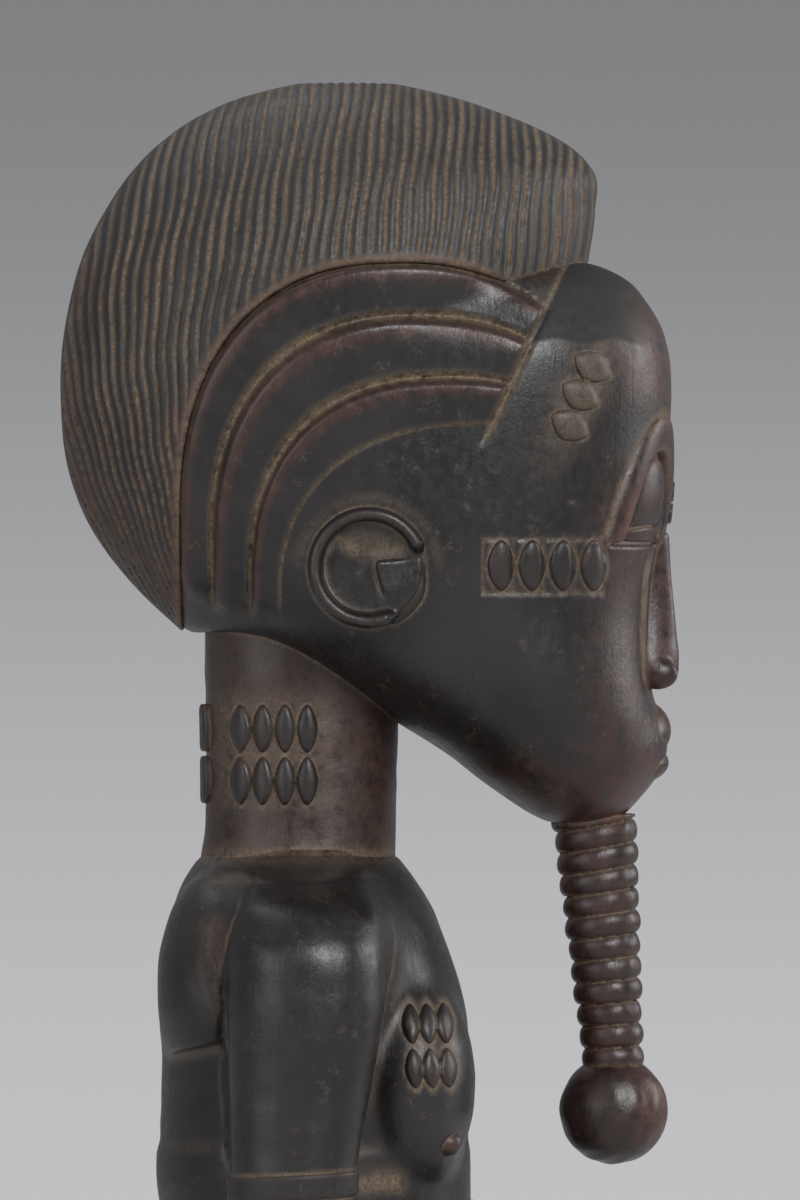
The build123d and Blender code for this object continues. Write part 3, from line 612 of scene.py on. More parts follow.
def trunk_field(x, f, z):
    torso = smooth_min(ribcage(x, f, z), belly(x, f, z), 5.0)
    torso = smooth_min(torso, pectoral(x, f, z), 2.5)
    torso = smooth_min(torso, shoulder_blade(x, f, z), 2.5)
    spine = groove(x, 4.5) * ramp(-f, -CHEST.back - 26, -CHEST.back - 8)
    sternum = groove(x, 3.5) * ramp(f, CHEST.front - 22, CHEST.front - 8)
    torso = torso + 1.3 * spine + 0.9 * sternum * ramp(z, PEC_LOW, PEC_LOW + 8)
    arm = arm_shape(x, f, z)
    high = ramp(z, height_at(ARM, 0.58), height_at(ARM, 0.95))
    blend = 3.5 + 13.0 * high
    body = smooth_min(torso, arm, blend)
    seam = np.abs(arm - torso)
    body = body + 0.7 * (1 - high) * groove(seam, 1.0) + 0.5 * arm_crack(x, f, z)
    navel_z = height_at(ABDOMEN, 0.42)
    navel = ellipsoid(x, f, z, (0, ABDOMEN.front - 2.2, navel_z), (4.4, 4.6, 4.2))
    body = smooth_min(body, navel, 1.6)
    return body + 0.6 * unevenness(x, f, z) + facets(x, f, z, 11.0, 0.16)


def armlet_field(x, f, z):
    middle = ARMLET.middle_z
    tilt = 0.05 * (f - ARMLET.middle_f)
    band = slab(z - tilt, middle - 2.8, middle + 2.8)
    outside = arm_shape(x, f, z)
    return smooth_max(smooth_max(outside - 0.75, band, 0.9), -outside - 3.0, 0.3)


def forearm_field(x, f, z):
    side = np.abs(x)
    elbow = (ARM_MIDDLE + 0.5, ARM.middle_f - 1.0, ARM.low + 8.0)
    wrist = (26.0, ABDOMEN.front - 1.2, ARM.low + 6.0)
    body = rod(side, f, z, elbow, wrist, 9.6, 6.6)
    cuff = rod(side, f, z, wrist, (25.0, ABDOMEN.front - 0.8, ARM.low + 6.0), 7.3)
    return smooth_min(body, cuff, 1.0) + facets(x, f, z, 9.0, 0.18)


def hand_field(x, f, z):
    """A flat hand on the belly with four fingers and a thumb."""
    side = np.abs(x)
    front, level = HAND.front - 5.6, HAND.middle_z
    body = ellipsoid(side, f, z, (19.5, front - 0.5, level), (8.6, 4.6, 7.4))
    for index in range(4):
        height = level + 5.6 - 3.6 * index
        root = (17.0, front + 0.6, height)
        tip = (3.6 + 0.7 * abs(index - 1.2), front - 0.2, height - 0.6)
        body = smooth_min(body, rod(side, f, z, root, tip, 2.1, 1.7), 0.6)
    root, tip = (21.0, front + 0.5, level + 4.6), (14.5, front + 0.8, level + 6.3)
    return smooth_min(body, rod(side, f, z, root, tip, 2.0, 1.8), 0.8)


# ---------------------------------------------------------------- hips, legs and base

HIPS_ROWS = (
    (0.00, 0.033, 0.950, 35.6), (0.18, 0.010, 0.985, 36.2), (0.36, 0.004, 0.990, 36.0),
    (0.70, 0.050, 0.985, 32.6), (1.00, 0.110, 0.985, 29.4), (1.11, 0.135, 0.980, 28.4),
)
hips_form = Stack(HIPS, HIPS_ROWS, power=2.3, end=3.5)
LEG_MIDDLE = -(THIGH.left + THIGH.right) / 2
THIGH_ROWS = (
    (-0.02, 0.39, 0.97, 12.3), (0.30, 0.27, 0.99, 14.3), (0.65, 0.11, 0.96, 16.4),
    (1.00, 0.01, 0.90, 17.2), (1.15, 0.01, 0.90, 17.0),
)
CALF_ROWS = (
    (-0.06, 0.20, 0.66, 9.3), (0.20, 0.10, 0.66, 10.6), (0.48, 0.01, 0.71, 13.2),
    (0.75, 0.04, 0.81, 13.2), (1.00, 0.28, 0.98, 12.4), (1.05, 0.30, 0.98, 12.2),
)
FOOT_ROWS = (
    (0.0, 0.01, 0.98, 14.6), (0.30, 0.02, 0.93, 14.0), (0.65, 0.06, 0.68, 11.8),
    (1.0, 0.13, 0.48, 9.3), (1.2, 0.14, 0.46, 9.0),
)


def leg_rows(rows):
    return [(*row, LEG_MIDDLE) for row in rows]


thigh_form = Stack(THIGH, leg_rows(THIGH_ROWS), 2.1, 2.0)
calf_form = Stack(CALF, leg_rows(CALF_ROWS), 2.1, 2.0)
foot_form = Stack(FOOT, leg_rows(FOOT_ROWS), 2.3, 2.0)


def hips_field(x, f, z):
    seat = groove(x, 3.0) * ramp(-f, -HIPS.back - 22, -HIPS.back - 6)
    return hips_form(x, f, z) + 1.4 * seat + facets(x, f, z, 11.0, 0.16)


def leg_field(x, f, z):
    side = np.abs(x)
    body = smooth_min(thigh_form(side, f, z), calf_form(side, f, z), 3.0)
    body = smooth_min(body, foot_form(side, f, z), 3.0)
    toe_f = FOOT.front - 6.5
    for index in range(5):
        across = LEG_MIDDLE - 9.6 + 4.8 * index
        reach = toe_f + 3.2 - 0.55 * abs(index - 1.2) ** 1.6
        root, tip = (across, toe_f - 12, FOOT.low + 3.4), (across, reach, FOOT.low + 2.5)
        body = smooth_min(body, rod(side, f, z, root, tip, 2.6, 2.3), 0.9)
    return smooth_max(body, FOOT.low - 1.0 - z, 0.3) + facets(x, f, z, 10.0, 0.16)


def belt_field(x, f, z):
    outside = hips_form(x, f, z)
    band = slab(z, BELT.low + 0.2, BELT.high - 0.2)
    twist = 0.35 * np.sin((np.arctan2(x, f - 2.0) * 26) + 1.4 * z)
    return smooth_max(smooth_max(outside - 1.3 + twist * 0.5, band, 1.6), -outside - 3.0, 0.3)


def flap_field(x, f, z):
    """The cloth's front and back ends: thin, with upright folds and a cut hem."""
    low = HIPS.low
    outside = hips_form(x, f, np.maximum(z, low + 3.0))
    folds = 0.5 * np.abs(np.sin(x * 0.62 + 0.6)) + 0.25 * np.sin(0.2 * z + x)
    half = FLAP.half - 0.4
    cloth = smooth_max(outside - 2.3 + folds, -outside - 0.8, 0.5)
    cloth = smooth_max(cloth, np.abs(x) - half - 0.03 * (FLAP.high - z), 1.2)
    return smooth_max(cloth, slab(z, FLAP.low + 0.4, FLAP.high - 0.3), 1.0)


def base_field(x, f, z):
    radius = BASE.half - 0.3
    turn = np.arctan2(x, f)
    cuts = 0.7 * np.abs(np.sin(turn * 19 + 0.2 * np.sin(z * 0.25))) ** 1.5
    side = np.sqrt(x * x + f * f) - radius + cuts
    return smooth_max(side, slab(z, BASE.low, BASE.high - 0.2), 3.0) + facets(x, f, z, 12.0, 0.3)


# ---------------------------------------------------------------- scar beads


def side_beads(host, places, length, width, lean=0.0, power=2.0):
    """Long beads on the figure's sides, at (forward, height) places; a low power is angular."""

    def field(x, f, z):
        best = np.full(np.shape(x), FAR)
        for place in places:
            u, v = turned(f, z, place, lean)
            size = roundness(np.abs(u) / (width / 2), np.abs(v) / (length / 2), power)
            best = np.minimum(best, (size - 1.0) * width / 2)
        skin = host(x, f, z)
        rim = np.clip(best / (width / 2) + 1, 0, 1)
        top = cut.scar_height * np.sqrt(np.clip(1.0 - rim ** (4.0 / power), 0, 1))
        return smooth_max(smooth_max(best, skin - top, 0.35), -skin - 1.6, 0.3)

    return field


def rows_of(forward, height, columns, rows, step, drop, drift=0.0):
    return [
        (forward + c * step + r * drift, height - r * drop)
        for r in range(rows)
        for c in range(columns)
    ]


TEMPLE_BEADS = [at(HEAD, 0.839, 0.810), at(HEAD, 0.814, 0.760), at(HEAD, 0.792, 0.706)]
CHEEK_BEADS = rows_of(*at(HEAD, 0.653, 0.459), 4, 1, 6.75, 0)
temple_beads = side_beads(head_field, TEMPLE_BEADS, 7.0, 9.2, -32.0, 1.45)
cheek_beads = side_beads(head_field, CHEEK_BEADS, 11.4, 6.0, power=1.6)
NECK_PLACES = rows_of(NECK.back + 9.3, NECK.low + 28.4, 4, 2, 4.9, 11.4)
neck_beads = side_beads(neck_column, NECK_PLACES, 10.8, 4.7, power=1.6)
CHEST_PLACES = rows_of(*at(CHEST, 0.795, 0.495), 3, 2, 3.7, 9.6, 0.7)
chest_beads = side_beads(trunk_field, CHEST_PLACES, 8.8, 4.1, 6.0, 1.6)


def middle_beads(host, places, forward_side):
    """Beads near the middle line, at (across, height) places on the front or the back."""

    def field(x, f, z):
        best = np.full(np.shape(x), FAR)
        for across, height, length, width in places:
            size = np.sqrt(((x - across) / (width / 2)) ** 2 + ((z - height) / (length / 2)) ** 2)
            best = np.minimum(best, (size - 1.0) * width / 2)
        skin = host(x, f, z)
        body = smooth_max(smooth_max(best, skin - cut.scar_height, 0.7), -skin - 1.6, 0.3)
        return np.maximum(body, -f if forward_side else f)

    return field


def hairline_bead(x, f, z):
    """A lozenge bead that stands on the middle line where the forehead meets the hair."""
    u, v = turned(f, z, at(HEAD, 0.921, 0.937), -48.0)
    return ellipsoid(x, u, v, (0, 0, 0), (3.6, 6.0, 2.2))


bridge_beads = middle_beads(
    head_field, [(0.0, height_at(HEAD, level), 4.6, 7.5) for level in (0.592, 0.553)], True
)
NAPE_PLACES = [
    (across, NECK.low + height, 10.4, 4.3) for height in (28.4, 17.0) for across in (-5.2, 0, 5.2)
]
nape_beads = middle_beads(neck_column, NAPE_PLACES, False)


def nipple_field(x, f, z):
    forward, height = at(CHEST, 0.905, 0.120)
    return ellipsoid(np.abs(x), f, z, (30.0, forward, height), (3.2, 3.4, 2.8))


# ---------------------------------------------------------------- meshing a field


def corner_window(corner):
    """The part of a lattice that holds this corner, 0 to 7, of each of its cells."""
    return tuple(slice(1, None) if corner >> i & 1 else slice(0, -1) for i in range(3))


def lattice_values(field, low, step, cells):
    """The field on a fine lattice, worked out only near its surface."""
    axes = [low[i] + np.arange(cells[i] + 1) * step * COARSE for i in range(3)]
    grid = np.meshgrid(*axes, indexing="ij")
    coarse = field(*(axis.ravel() for axis in grid)).reshape(grid[0].shape)
    lowest, highest = coarse[:-1, :-1, :-1].copy(), coarse[:-1, :-1, :-1].copy()
    for corner in range(1, 8):
        np.minimum(lowest, coarse[corner_window(corner)], out=lowest)
        np.maximum(highest, coarse[corner_window(corner)], out=highest)
    reach = step * COARSE * NEAR
    near = (lowest < reach) & (highest > -reach)
    values = lowest
    for axis in range(3):
        near, values = np.repeat(near, COARSE, axis), np.repeat(values, COARSE, axis)
    index = np.nonzero(near)
    values[index] = field(*(low[i] + index[i] * step for i in range(3)))
    return values


def surface_net(values, low, step):
    """Vertices and quads of the zero surface of a lattice: one vertex in each cell it crosses."""
    inside = values < 0
    cell_shape = tuple(n - 1 for n in values.shape)
    count = np.zeros(cell_shape, np.uint8)
    for corner in range(8):
        count += inside[corner_window(corner)]
    cells = np.nonzero((count > 0) & (count < 8))
    corners = [
        values[tuple(cells[i] + (corner >> i & 1) for i in range(3))] for corner in range(8)
    ]
    total, crossings = np.zeros((len(cells[0]), 3)), np.zeros(len(cells[0]))
    for axis in range(3):
        for first in (c for c in range(8) if not c >> axis & 1):
            a, b = corners[first], corners[first | 1 << axis]
            crossed = (a < 0) != (b < 0)
            part = np.where(crossed, a / np.where(crossed, a - b, 1.0), 0.0)
            for i in range(3):
                place = part if i == axis else float(first >> i & 1)
                total[:, i] += np.where(crossed, place, 0.0)
            crossings += crossed
    points = (np.stack(cells, axis=1) + total / crossings[:, None]) * step + np.asarray(low)

    number = np.full(cell_shape, -1, np.int32)
    number[cells] = np.arange(len(points), dtype=np.int32)
    quads = []
    for axis in range(3):
        across, up = (axis + 1) % 3, (axis + 2) % 3
        start = [slice(1, -1)] * 3
        start[axis] = slice(0, -1)
        end = list(start)
        end[axis] = slice(1, None)
        a, b = inside[tuple(start)], inside[tuple(end)]
        edges = np.nonzero(a != b)
        base = [edges[i] + (0 if i == axis else 1) for i in range(3)]
        ring = []
        for step_across, step_up in ((0, 0), (1, 0), (1, 1), (0, 1)):
            cell = list(base)
            cell[across] = base[across] - step_across
            cell[up] = base[up] - step_up
            ring.append(number[tuple(cell)])
        ring = np.stack(ring, axis=1)
        outward = a[edges]
        ring[~outward] = ring[~outward][:, ::-1]
        quads.append(ring)
    return points, np.concatenate(quads)


def slope_of(field, points, reach=0.12):
    """The field's gradient at points, by central differences."""
    slopes = np.empty_like(points)
    for axis in range(3):
        offset = np.zeros(3)
        offset[axis] = reach
        ahead, behind = points + offset, points - offset
        slopes[:, axis] = (field(*ahead.T) - field(*behind.T)) / (2 * reach)
    return slopes


def settled(field, points, step):
    """Points moved onto the exact surface, and its outward normals."""
    for _ in range(2):
        slopes = slope_of(field, points)
        size = np.maximum((slopes**2).sum(axis=1), 0.05)
        move = field(*points.T)[:, None] * slopes / size[:, None]
        length = np.maximum(np.linalg.norm(move, axis=1, keepdims=True), 1e-9)
        points = points - move * np.minimum(1.0, 0.7 * step / length)
    slopes = slope_of(field, points)
    return points, slopes / np.maximum(np.linalg.norm(slopes, axis=1, keepdims=True), 1e-6)


def closeness(fields, points, reach):
    """1 where another form's surface is near, 0 beyond the reach: dust gathers there."""
    near = np.zeros(len(points))
    for field in fields:
        gap = np.maximum(field(*points.T), 0.0)
        near = np.maximum(near, 1.0 - np.clip(gap / reach, 0.0, 1.0))
    return near


def sculpt(
    name, field, low, high, step, neighbours=(), reach=0.9, dust=None, rub=None, soot=None
):
    """Mesh a field inside a box and store how hollow, dusty, rubbed and sooty each vertex is."""
    step = step * 1.0
    low = np.asarray(low, float) - SPARE * step
    cells = np.ceil((np.asarray(high, float) + SPARE * step - low) / (step * COARSE)).astype(int)
    points, quads = surface_net(lattice_values(field, low, step, cells), low, step)
    points, normals = settled(field, points, step)

    hollow, edge = np.zeros(len(points)), np.zeros(len(points))
    for probe in PROBES:
        outer, inner = points + normals * probe, points - normals * probe
        hollow = np.maximum(hollow, 1.0 - field(*outer.T) / probe)
        edge = np.maximum(edge, 1.0 + field(*inner.T) / probe)
    attributes = {
        "hollow": np.clip(hollow, 0.0, 1.0),
        "edge": np.clip(edge, 0.0, 1.0),
        "seam": closeness(neighbours, points, reach),
    }
    for key, amount in (("dust", dust), ("rub", rub), ("soot", soot)):
        attributes[key] = amount(*points.T) if amount else np.zeros(len(points))
    return build_mesh(name, points, quads, attributes)


def add_object(name, data):
    item = bpy.data.objects.new(name, data)
    bpy.context.scene.collection.objects.link(item)
    return item


def build_mesh(name, points, quads, attributes):
    mesh = bpy.data.meshes.new(name)
    mesh.vertices.add(len(points))
    world = np.stack((points[:, 0], -points[:, 1], points[:, 2]), axis=1) * MM
    mesh.vertices.foreach_set("co", world.ravel())
    quads = quads[:, ::-1]
    mesh.loops.add(quads.size)
    mesh.loops.foreach_set("vertex_index", quads.ravel())
    mesh.polygons.add(len(quads))
    mesh.polygons.foreach_set("loop_start", np.arange(0, quads.size, 4))
    mesh.polygons.foreach_set("use_smooth", np.ones(len(quads), bool))
    mesh.update(calc_edges=True)
    if mesh.validate():
        raise RuntimeError(name + " needed repair")
    for key, values in attributes.items():
        layer = mesh.attributes.new(key, "FLOAT", "POINT")
        layer.data.foreach_set("value", np.ascontiguousarray(values, np.float32))
    return add_object(name, mesh)


def sides(*names):
    return [side + "_" + name for name in names for side in SIDES]


def around(boxes, margin=2.5):
    """The box round several spans, as low and high corners."""
    low = [min(b.left for b in boxes), min(b.back for b in boxes), min(b.low for b in boxes)]
    high = [max(b.right for b in boxes), max(b.front for b in boxes), max(b.high for b in boxes)]
    return [value - margin for value in low], [value + margin for value in high]


def box_of(*nodes, margin=2.5):
    return around([span(node) for node in nodes], margin)


# ---------------------------------------------------------------- where dust and wear lie


def head_dust(x, f, z):
    zone, share = braid_zone(f, z)
    part = share - np.floor(share)
    lines = groove(np.minimum(part, 1.0 - part), 0.085) * zone
    temple_f, temple_z = at(HEAD, 0.815, 0.76)
    pit = groove(f - temple_f - 0.42 * (z - temple_z), 4.6) * groove(z - temple_z, 11.5)
    nose_side = groove(np.abs(x) - 8.6, 2.2) * ramp(f, HEAD.front - 12, HEAD.front - 6)
    nose_side = nose_side * ramp(z, NOSE.low - 1, NOSE.low + 3)
    nose_side = nose_side * (1 - ramp(z, EYE_LOW - 5, EYE_LOW))
    temple = groove(temple_line(f, z), 0.9) * ramp(z, *TEMPLE_EDGE)
    marks = 0.45 * cheek_lines(f, z) + 0.8 * pit + 0.9 * nose_side + 0.25 * ear_halo(f, z)
    return np.clip(lines + marks + temple, 0, 1)


def ear_halo(f, z):
    radius = np.sqrt((f - EAR.middle_f) ** 2 + (z - EAR.middle_z) ** 2)
    above = ramp(z - EAR.middle_z, -4.0, 4.0)
    return groove(radius - EAR.height / 2 - 1.8, 1.3) * above


def head_rub(x, f, z):
    zone, share = braid_zone(f, z)
    part = share - np.floor(share)
    ridge = groove(part - 0.24, 0.13) * zone
    chin = 1 - ramp(z, HEAD.low + 4, HEAD.low + 22)
    cheek = ramp(f, HEAD.front - 24, HEAD.front - 8) * (1 - ramp(z, EYE_LOW - 4, EYE_LOW + 30))
    brow = ramp(f, HEAD.front - 14, HEAD.front - 5) * ramp(z, EYE_LOW + 24, EYE_LOW + 36)
    return np.clip(0.40 * ridge + 0.30 * chin + 0.30 * cheek + 0.50 * brow, 0, 1)


def head_soot(x, f, z):
    """The blackened cap of hair between the hairline and the crest."""
    hairline = height_at(HEAD, 0.855) + 0.6 * np.sin(0.5 * f)
    cap = ramp(z, hairline - 0.5, hairline + 0.5) * (1 - ramp(temple_line(f, z), -0.3, 0.3))
    cap = cap * (1 - 0.6 * ramp(f, HEAD.front - 15, HEAD.front - 4))
    return cap * ramp(f, forward_at(HEAD, 0.66), forward_at(HEAD, 0.70))


def crest_dust(x, f, z):
    return np.clip(comb_cut(x, f, z) * 1.1 + 0.6 * groove(arch(0, f, z) - 0.2, 0.9), 0, 1)


def trunk_dust(x, f, z):
    crust = groove(z - CHEST.low - 0.2, 2.6) * ramp(f, 7.0, 11.0) * (1 - ramp(f, 19.0, 23.0))
    torso = smooth_min(ribcage(x, f, z), pectoral(x, f, z), 2.5)
    seam = groove(arm_shape(x, f, z) - torso, 0.9) * (0.3 + 0.7 * ramp(f, 0.0, 4.0))
    seam = seam * (1 - ramp(z, height_at(ARM, 0.72), height_at(ARM, 0.96)))
    root = groove(z - CHEST.high, 1.6)
    return np.clip(crust + 0.8 * seam + 0.35 * root, 0, 1)


def neck_dust(x, f, z):
    beads = groove(np.maximum(slab(z, NECK.low + 13, NECK.low + 34), 0), 2.5)
    beads = beads * groove(np.maximum(slab(f, NECK.back + 6, NECK.back + 28), 0), 2.5)
    return np.clip(0.10 + 0.30 * beads + 0.55 * groove(z - NECK.low - 1.0, 1.4), 0, 1)


def ball_rub(x, f, z):
    return 0.15 + 0.5 * ramp(f, BALL.middle_f, BALL.front)


def everywhere(amount):
    return lambda x, f, z: np.full(np.shape(x), amount)


# ---------------------------------------------------------------- materials


class Shader:
    """A small helper that adds nodes to a material and links them."""

    def __init__(self, name):
        self.material = bpy.data.materials.new(name)
        self.material.use_nodes = True
        self.tree = self.material.node_tree
        self.tree.nodes.clear()
        self.place = self.add("ShaderNodeTexCoord").outputs["Object"]

    def add(self, kind, **settings):
        node = self.tree.nodes.new(kind)
        for key, value in settings.items():
            setattr(node, key, value)
        return node

    def put(self, socket, value):
        if isinstance(value, bpy.types.NodeSocket):
            self.tree.links.new(value, socket)
        else:
            socket.default_value = value

    def attribute(self, name):
        return self.add("ShaderNodeAttribute", attribute_name=name).outputs["Fac"]

    def noise(self, scale, detail=4.0, stretch=(1, 1, 1), rough=0.6):
        mapping = self.add("ShaderNodeMapping")
        mapping.inputs["Scale"].default_value = stretch
        self.put(mapping.inputs["Vector"], self.place)
        node = self.add("ShaderNodeTexNoise")
        self.put(node.inputs["Vector"], mapping.outputs["Vector"])
        node.inputs["Scale"].default_value = scale
        node.inputs["Detail"].default_value = detail
        node.inputs["Roughness"].default_value = rough
        return node.outputs["Fac"]

    def math(self, operation, a, b, clamp=False):
        node = self.add("ShaderNodeMath", operation=operation, use_clamp=clamp)
        self.put(node.inputs[0], a)
        self.put(node.inputs[1], b)
        return node.outputs[0]

    def times(self, a, b, clamp=False):
        return self.math("MULTIPLY", a, b, clamp)

    def plus(self, a, b):
        return self.math("ADD", a, b)

    def larger(self, a, b, clamp=False):
        return self.math("MAXIMUM", a, b, clamp)

    def steps(self, value, low, high, to_low=0.0, to_high=1.0):
        node = self.add("ShaderNodeMapRange", interpolation_type="SMOOTHSTEP")
        self.put(node.inputs["Value"], value)
        limits = {"From Min": low, "From Max": high, "To Min": to_low, "To Max": to_high}
        for key, number in limits.items():
            node.inputs[key].default_value = number
        return node.outputs["Result"]

    def mix(self, share, a, b):
        node = self.add("ShaderNodeMix", data_type="RGBA")
        factor, *_, first, second = (put for put in node.inputs if put.enabled)
        self.put(factor, share)
        self.put(first, a)
        self.put(second, b)
        return next(output for output in node.outputs if output.enabled)

    def blend(self, share, first, second):
        """Two shaders mixed."""
        node = self.add("ShaderNodeMixShader")
        for socket, value in zip(node.inputs, (share, first, second)):
            self.put(socket, value)
        return node.outputs[0]

    def finished(self, surface):
        """The material, with this shader on its surface."""
        self.put(self.add("ShaderNodeOutputMaterial").inputs["Surface"], surface)
        return self.material


def linear(red, green, blue):
    """A colour given as it looks on screen, as linear light."""

    def one(value):
        value = value / 255
        return value / 12.92 if value <= 0.04045 else ((value + 0.055) / 1.055) ** 2.4

    return (one(red), one(green), one(blue), 1.0)


def wood(name, look, gloss, dust_amount=1.0, rub_amount=1.0, grain=1.0):
    """Blackened, handled wood: dark skin, red-brown where rubbed and tan dust in the hollows."""
    s = Shader(name)
    hollow, edge, seam, dust, rub, soot = map(
        s.attribute, ("hollow", "edge", "seam", "dust", "rub", "soot")
    )
    blotch = s.noise(38.0, 5.0)
    fine = s.noise(420.0, 6.0, rough=0.7)
    fibre = s.noise(150.0, 5.0, stretch=(1.0, 1.0, 0.09), rough=0.7)
    speck = s.noise(1500.0, 3.0)
    mottle = s.noise(210.0, 8.0, rough=0.75)

    skin = s.mix(s.steps(blotch, 0.38, 0.64), look.dark, look.skin)
    skin = s.mix(s.times(s.steps(mottle, 0.50, 0.62), 0.5), skin, look.dark)
    skin = s.mix(s.times(s.steps(fibre, 0.45, 0.75), 0.55 * grain), skin, look.fibre)
    worn = s.plus(s.times(s.steps(edge, 0.22, 0.75), 0.50), rub)
    worn = s.times(worn, s.steps(mottle, 0.36, 0.60, 0.25, 1.15))
    worn = s.times(worn, rub_amount, clamp=True)
    skin = s.mix(worn, skin, look.rubbed)
    skin = s.mix(s.times(soot, 0.85), skin, look.soot)

    deep = s.times(s.steps(hollow, 0.12, 0.55), 0.55)
    dirt = s.larger(s.larger(deep, s.times(seam, 0.9)), dust)
    patch = s.times(s.steps(fine, 0.30, 0.56, 0.30), s.steps(blotch, 0.25, 0.6, 0.5))
    dirt = s.times(s.times(dirt, patch), dust_amount, clamp=True)
    loose = s.times(s.steps(mottle, 0.54, 0.72), s.steps(speck, 0.35, 0.65))
    loose = s.times(loose, 0.35 * dust_amount)
    dirt = s.larger(dirt, loose, clamp=True)
    dirt = s.times(dirt, s.math("SUBTRACT", 1.0, soot, clamp=True))
    dust_colour = s.mix(s.steps(speck, 0.3, 0.7), look.dust_dark, look.dust)
    colour = s.mix(dirt, skin, dust_colour)

    dull = s.times(s.larger(dirt, soot), 0.35)
    roughness = s.plus(s.steps(fine, 0.3, 0.7, gloss - 0.06, gloss + 0.10), dull)
    height = s.plus(s.times(fibre, 0.55 * grain), s.times(fine, 0.35))
    height = s.plus(height, s.times(s.plus(speck, mottle), 0.14))
    bump = s.add("ShaderNodeBump")
    bump.inputs["Strength"].default_value = 0.45
    bump.inputs["Distance"].default_value = 0.0006
    s.put(bump.inputs["Height"], height)

    shader = s.add("ShaderNodeBsdfPrincipled")
    s.put(shader.inputs["Base Color"], colour)
    s.put(shader.inputs["Roughness"], roughness)
    s.put(shader.inputs["Normal"], bump.outputs["Normal"])
    shader.inputs["Specular IOR Level"].default_value = 0.5
    return s.finished(shader.outputs["BSDF"])


# For each slot: its skin colour, how matt it is, and how much dust, wear and grain it shows.
WOODS = {
    "skin_wood": ("wood_colour", 0.34, {}),
    "hair_wood": ("hair_colour", 0.46, {"grain": 0.5}),
    "rubbed_wood": ("wood_colour", 0.34, {"dust_amount": 0.85, "rub_amount": 1.1}),
    "scar_wood": ("scar_colour", 0.38, {"dust_amount": 0.8, "rub_amount": 0.2}),
    "cloth_wood": ("wood_colour", 0.50, {"dust_amount": 0.9, "rub_amount": 0.35}),
    "base_wood": ("wood_colour", 0.48, {"dust_amount": 0.7, "rub_amount": 0.5}),
}


def scaled(colour, share):
    return (*(share * value for value in colour), 1.0)


def look_for(settings, skin):
    """The colours of one wood, from the settings."""
    skin = getattr(settings, skin)
    return SimpleNamespace(
        skin=scaled(skin, 1.0), dark=scaled(skin, 0.42), fibre=scaled(skin, 0.30),
        soot=scaled(settings.soot_colour, 1.0), rubbed=scaled(settings.rubbed_colour, 1.0),
        dust=scaled(settings.dust_colour, 1.0), dust_dark=scaled(settings.dust_colour, 0.45),
    )


def wood_for(slot):
    """The one material of each slot, made when it is first asked for."""
    name = "carved_" + slot
    if name not in bpy.data.materials:
        skin, gloss, amounts = WOODS[slot]
        wood(name, look_for(bpy.context.scene.carving, skin), gloss, **amounts)
    return bpy.data.materials[name]


def finish_piece(piece, slot, *nodes):
    """Give a piece its wood, hang it under the root, and hide the frame's nodes that it stands for.
    """
    piece.data.materials.append(wood_for(slot))
    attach(piece, "root")
    if nodes:
        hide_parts(*nodes)


# ---------------------------------------------------------------- settings


def length_setting(name, description, millimetres):
    return bpy.props.FloatProperty(
        name=name, description=description, default=millimetres * MM, min=0.0, precision=4,
        subtype="DISTANCE", unit="LENGTH",
    )


def colour_setting(name, description, colour):
    return bpy.props.FloatVectorProperty(
        name=name, description=description, default=colour[:3], min=0.0, max=1.0, size=3,
        subtype="COLOR",
    )


class CarvingSettings(bpy.types.PropertyGroup):
    """Sizes and colours that a user would change."""

    detail: bpy.props.FloatProperty(
        name="Coarseness", description="Lattice step, as a share of the standard one",
        default=1.0, min=0.5, max=3.0, subtype="FACTOR",
    )
    comb_pitch: length_setting("Comb Pitch", "From one comb stroke to the next", cut.comb_pitch)
    comb_depth: length_setting("Comb Depth", "Depth of a comb stroke", cut.comb_depth)
    braid_height: length_setting("Braid Height", "How far a braid stands out", cut.braid_height)
    scar_height: length_setting("Scar Height", "How far a scar bead stands out", cut.scar_height)
    wood_colour: colour_setting("Wood", "Blackened wood of the body", linear(33, 29, 28))
    hair_colour: colour_setting("Hair", "Blackened wood of the hair", linear(31, 29, 29))
    scar_colour: colour_setting("Scars", "Greyer wood of the scar beads", linear(40, 35, 33))
    rubbed_colour: colour_setting("Rubbed", "Red-brown where hands wear", linear(86, 50, 38))
    soot_colour: colour_setting("Soot", "Black of the hair cap and of cracks", linear(22, 20, 19))
    dust_colour: colour_setting("Dust", "Tan dust in the hollows", linear(126, 107, 85))


class StudioSettings(bpy.types.PropertyGroup):
    """The stage's colours and light."""

    floor: colour_setting("Floor", "Colour of the floor", linear(200, 200, 202))
    # The backdrop's two colours are painted shade on a glowing sheet: darker behind the head than
    # behind the chest.
    backdrop_top: colour_setting("Backdrop Top", "Behind the head", linear(128, 128, 130))
    backdrop_low: colour_setting("Backdrop Low", "Behind the chest", linear(193, 193, 195))
    camera_distance: bpy.props.FloatProperty(
        name="Camera Distance", description="From the figure's middle to the camera",
        default=2.5, unit="LENGTH", min=0.5,
    )
    view_height: bpy.props.FloatProperty(
        name="View Height", description="Height of the picture at the figure",
        default=0.264, unit="LENGTH", min=0.05,
    )


# ---------------------------------------------------------------- operators


class CarvingOperator:
    """What the operators of the figure's pieces share."""

    bl_options = {"REGISTER", "UNDO"}

    def begin(self, context):
        """Take the sizes from the settings."""
        settings = context.scene.carving
        self.detail = settings.detail
        for size in vars(cut):
            setattr(cut, size, getattr(settings, size) / MM)

    def sculpt(self, name, field, box, step, slot, *nodes, **extra):
        """Sculpt one piece on a lattice of this step, for these nodes."""
        piece = sculpt(name, field, *box, step * self.detail, **extra)
        finish_piece(piece, slot, *nodes)


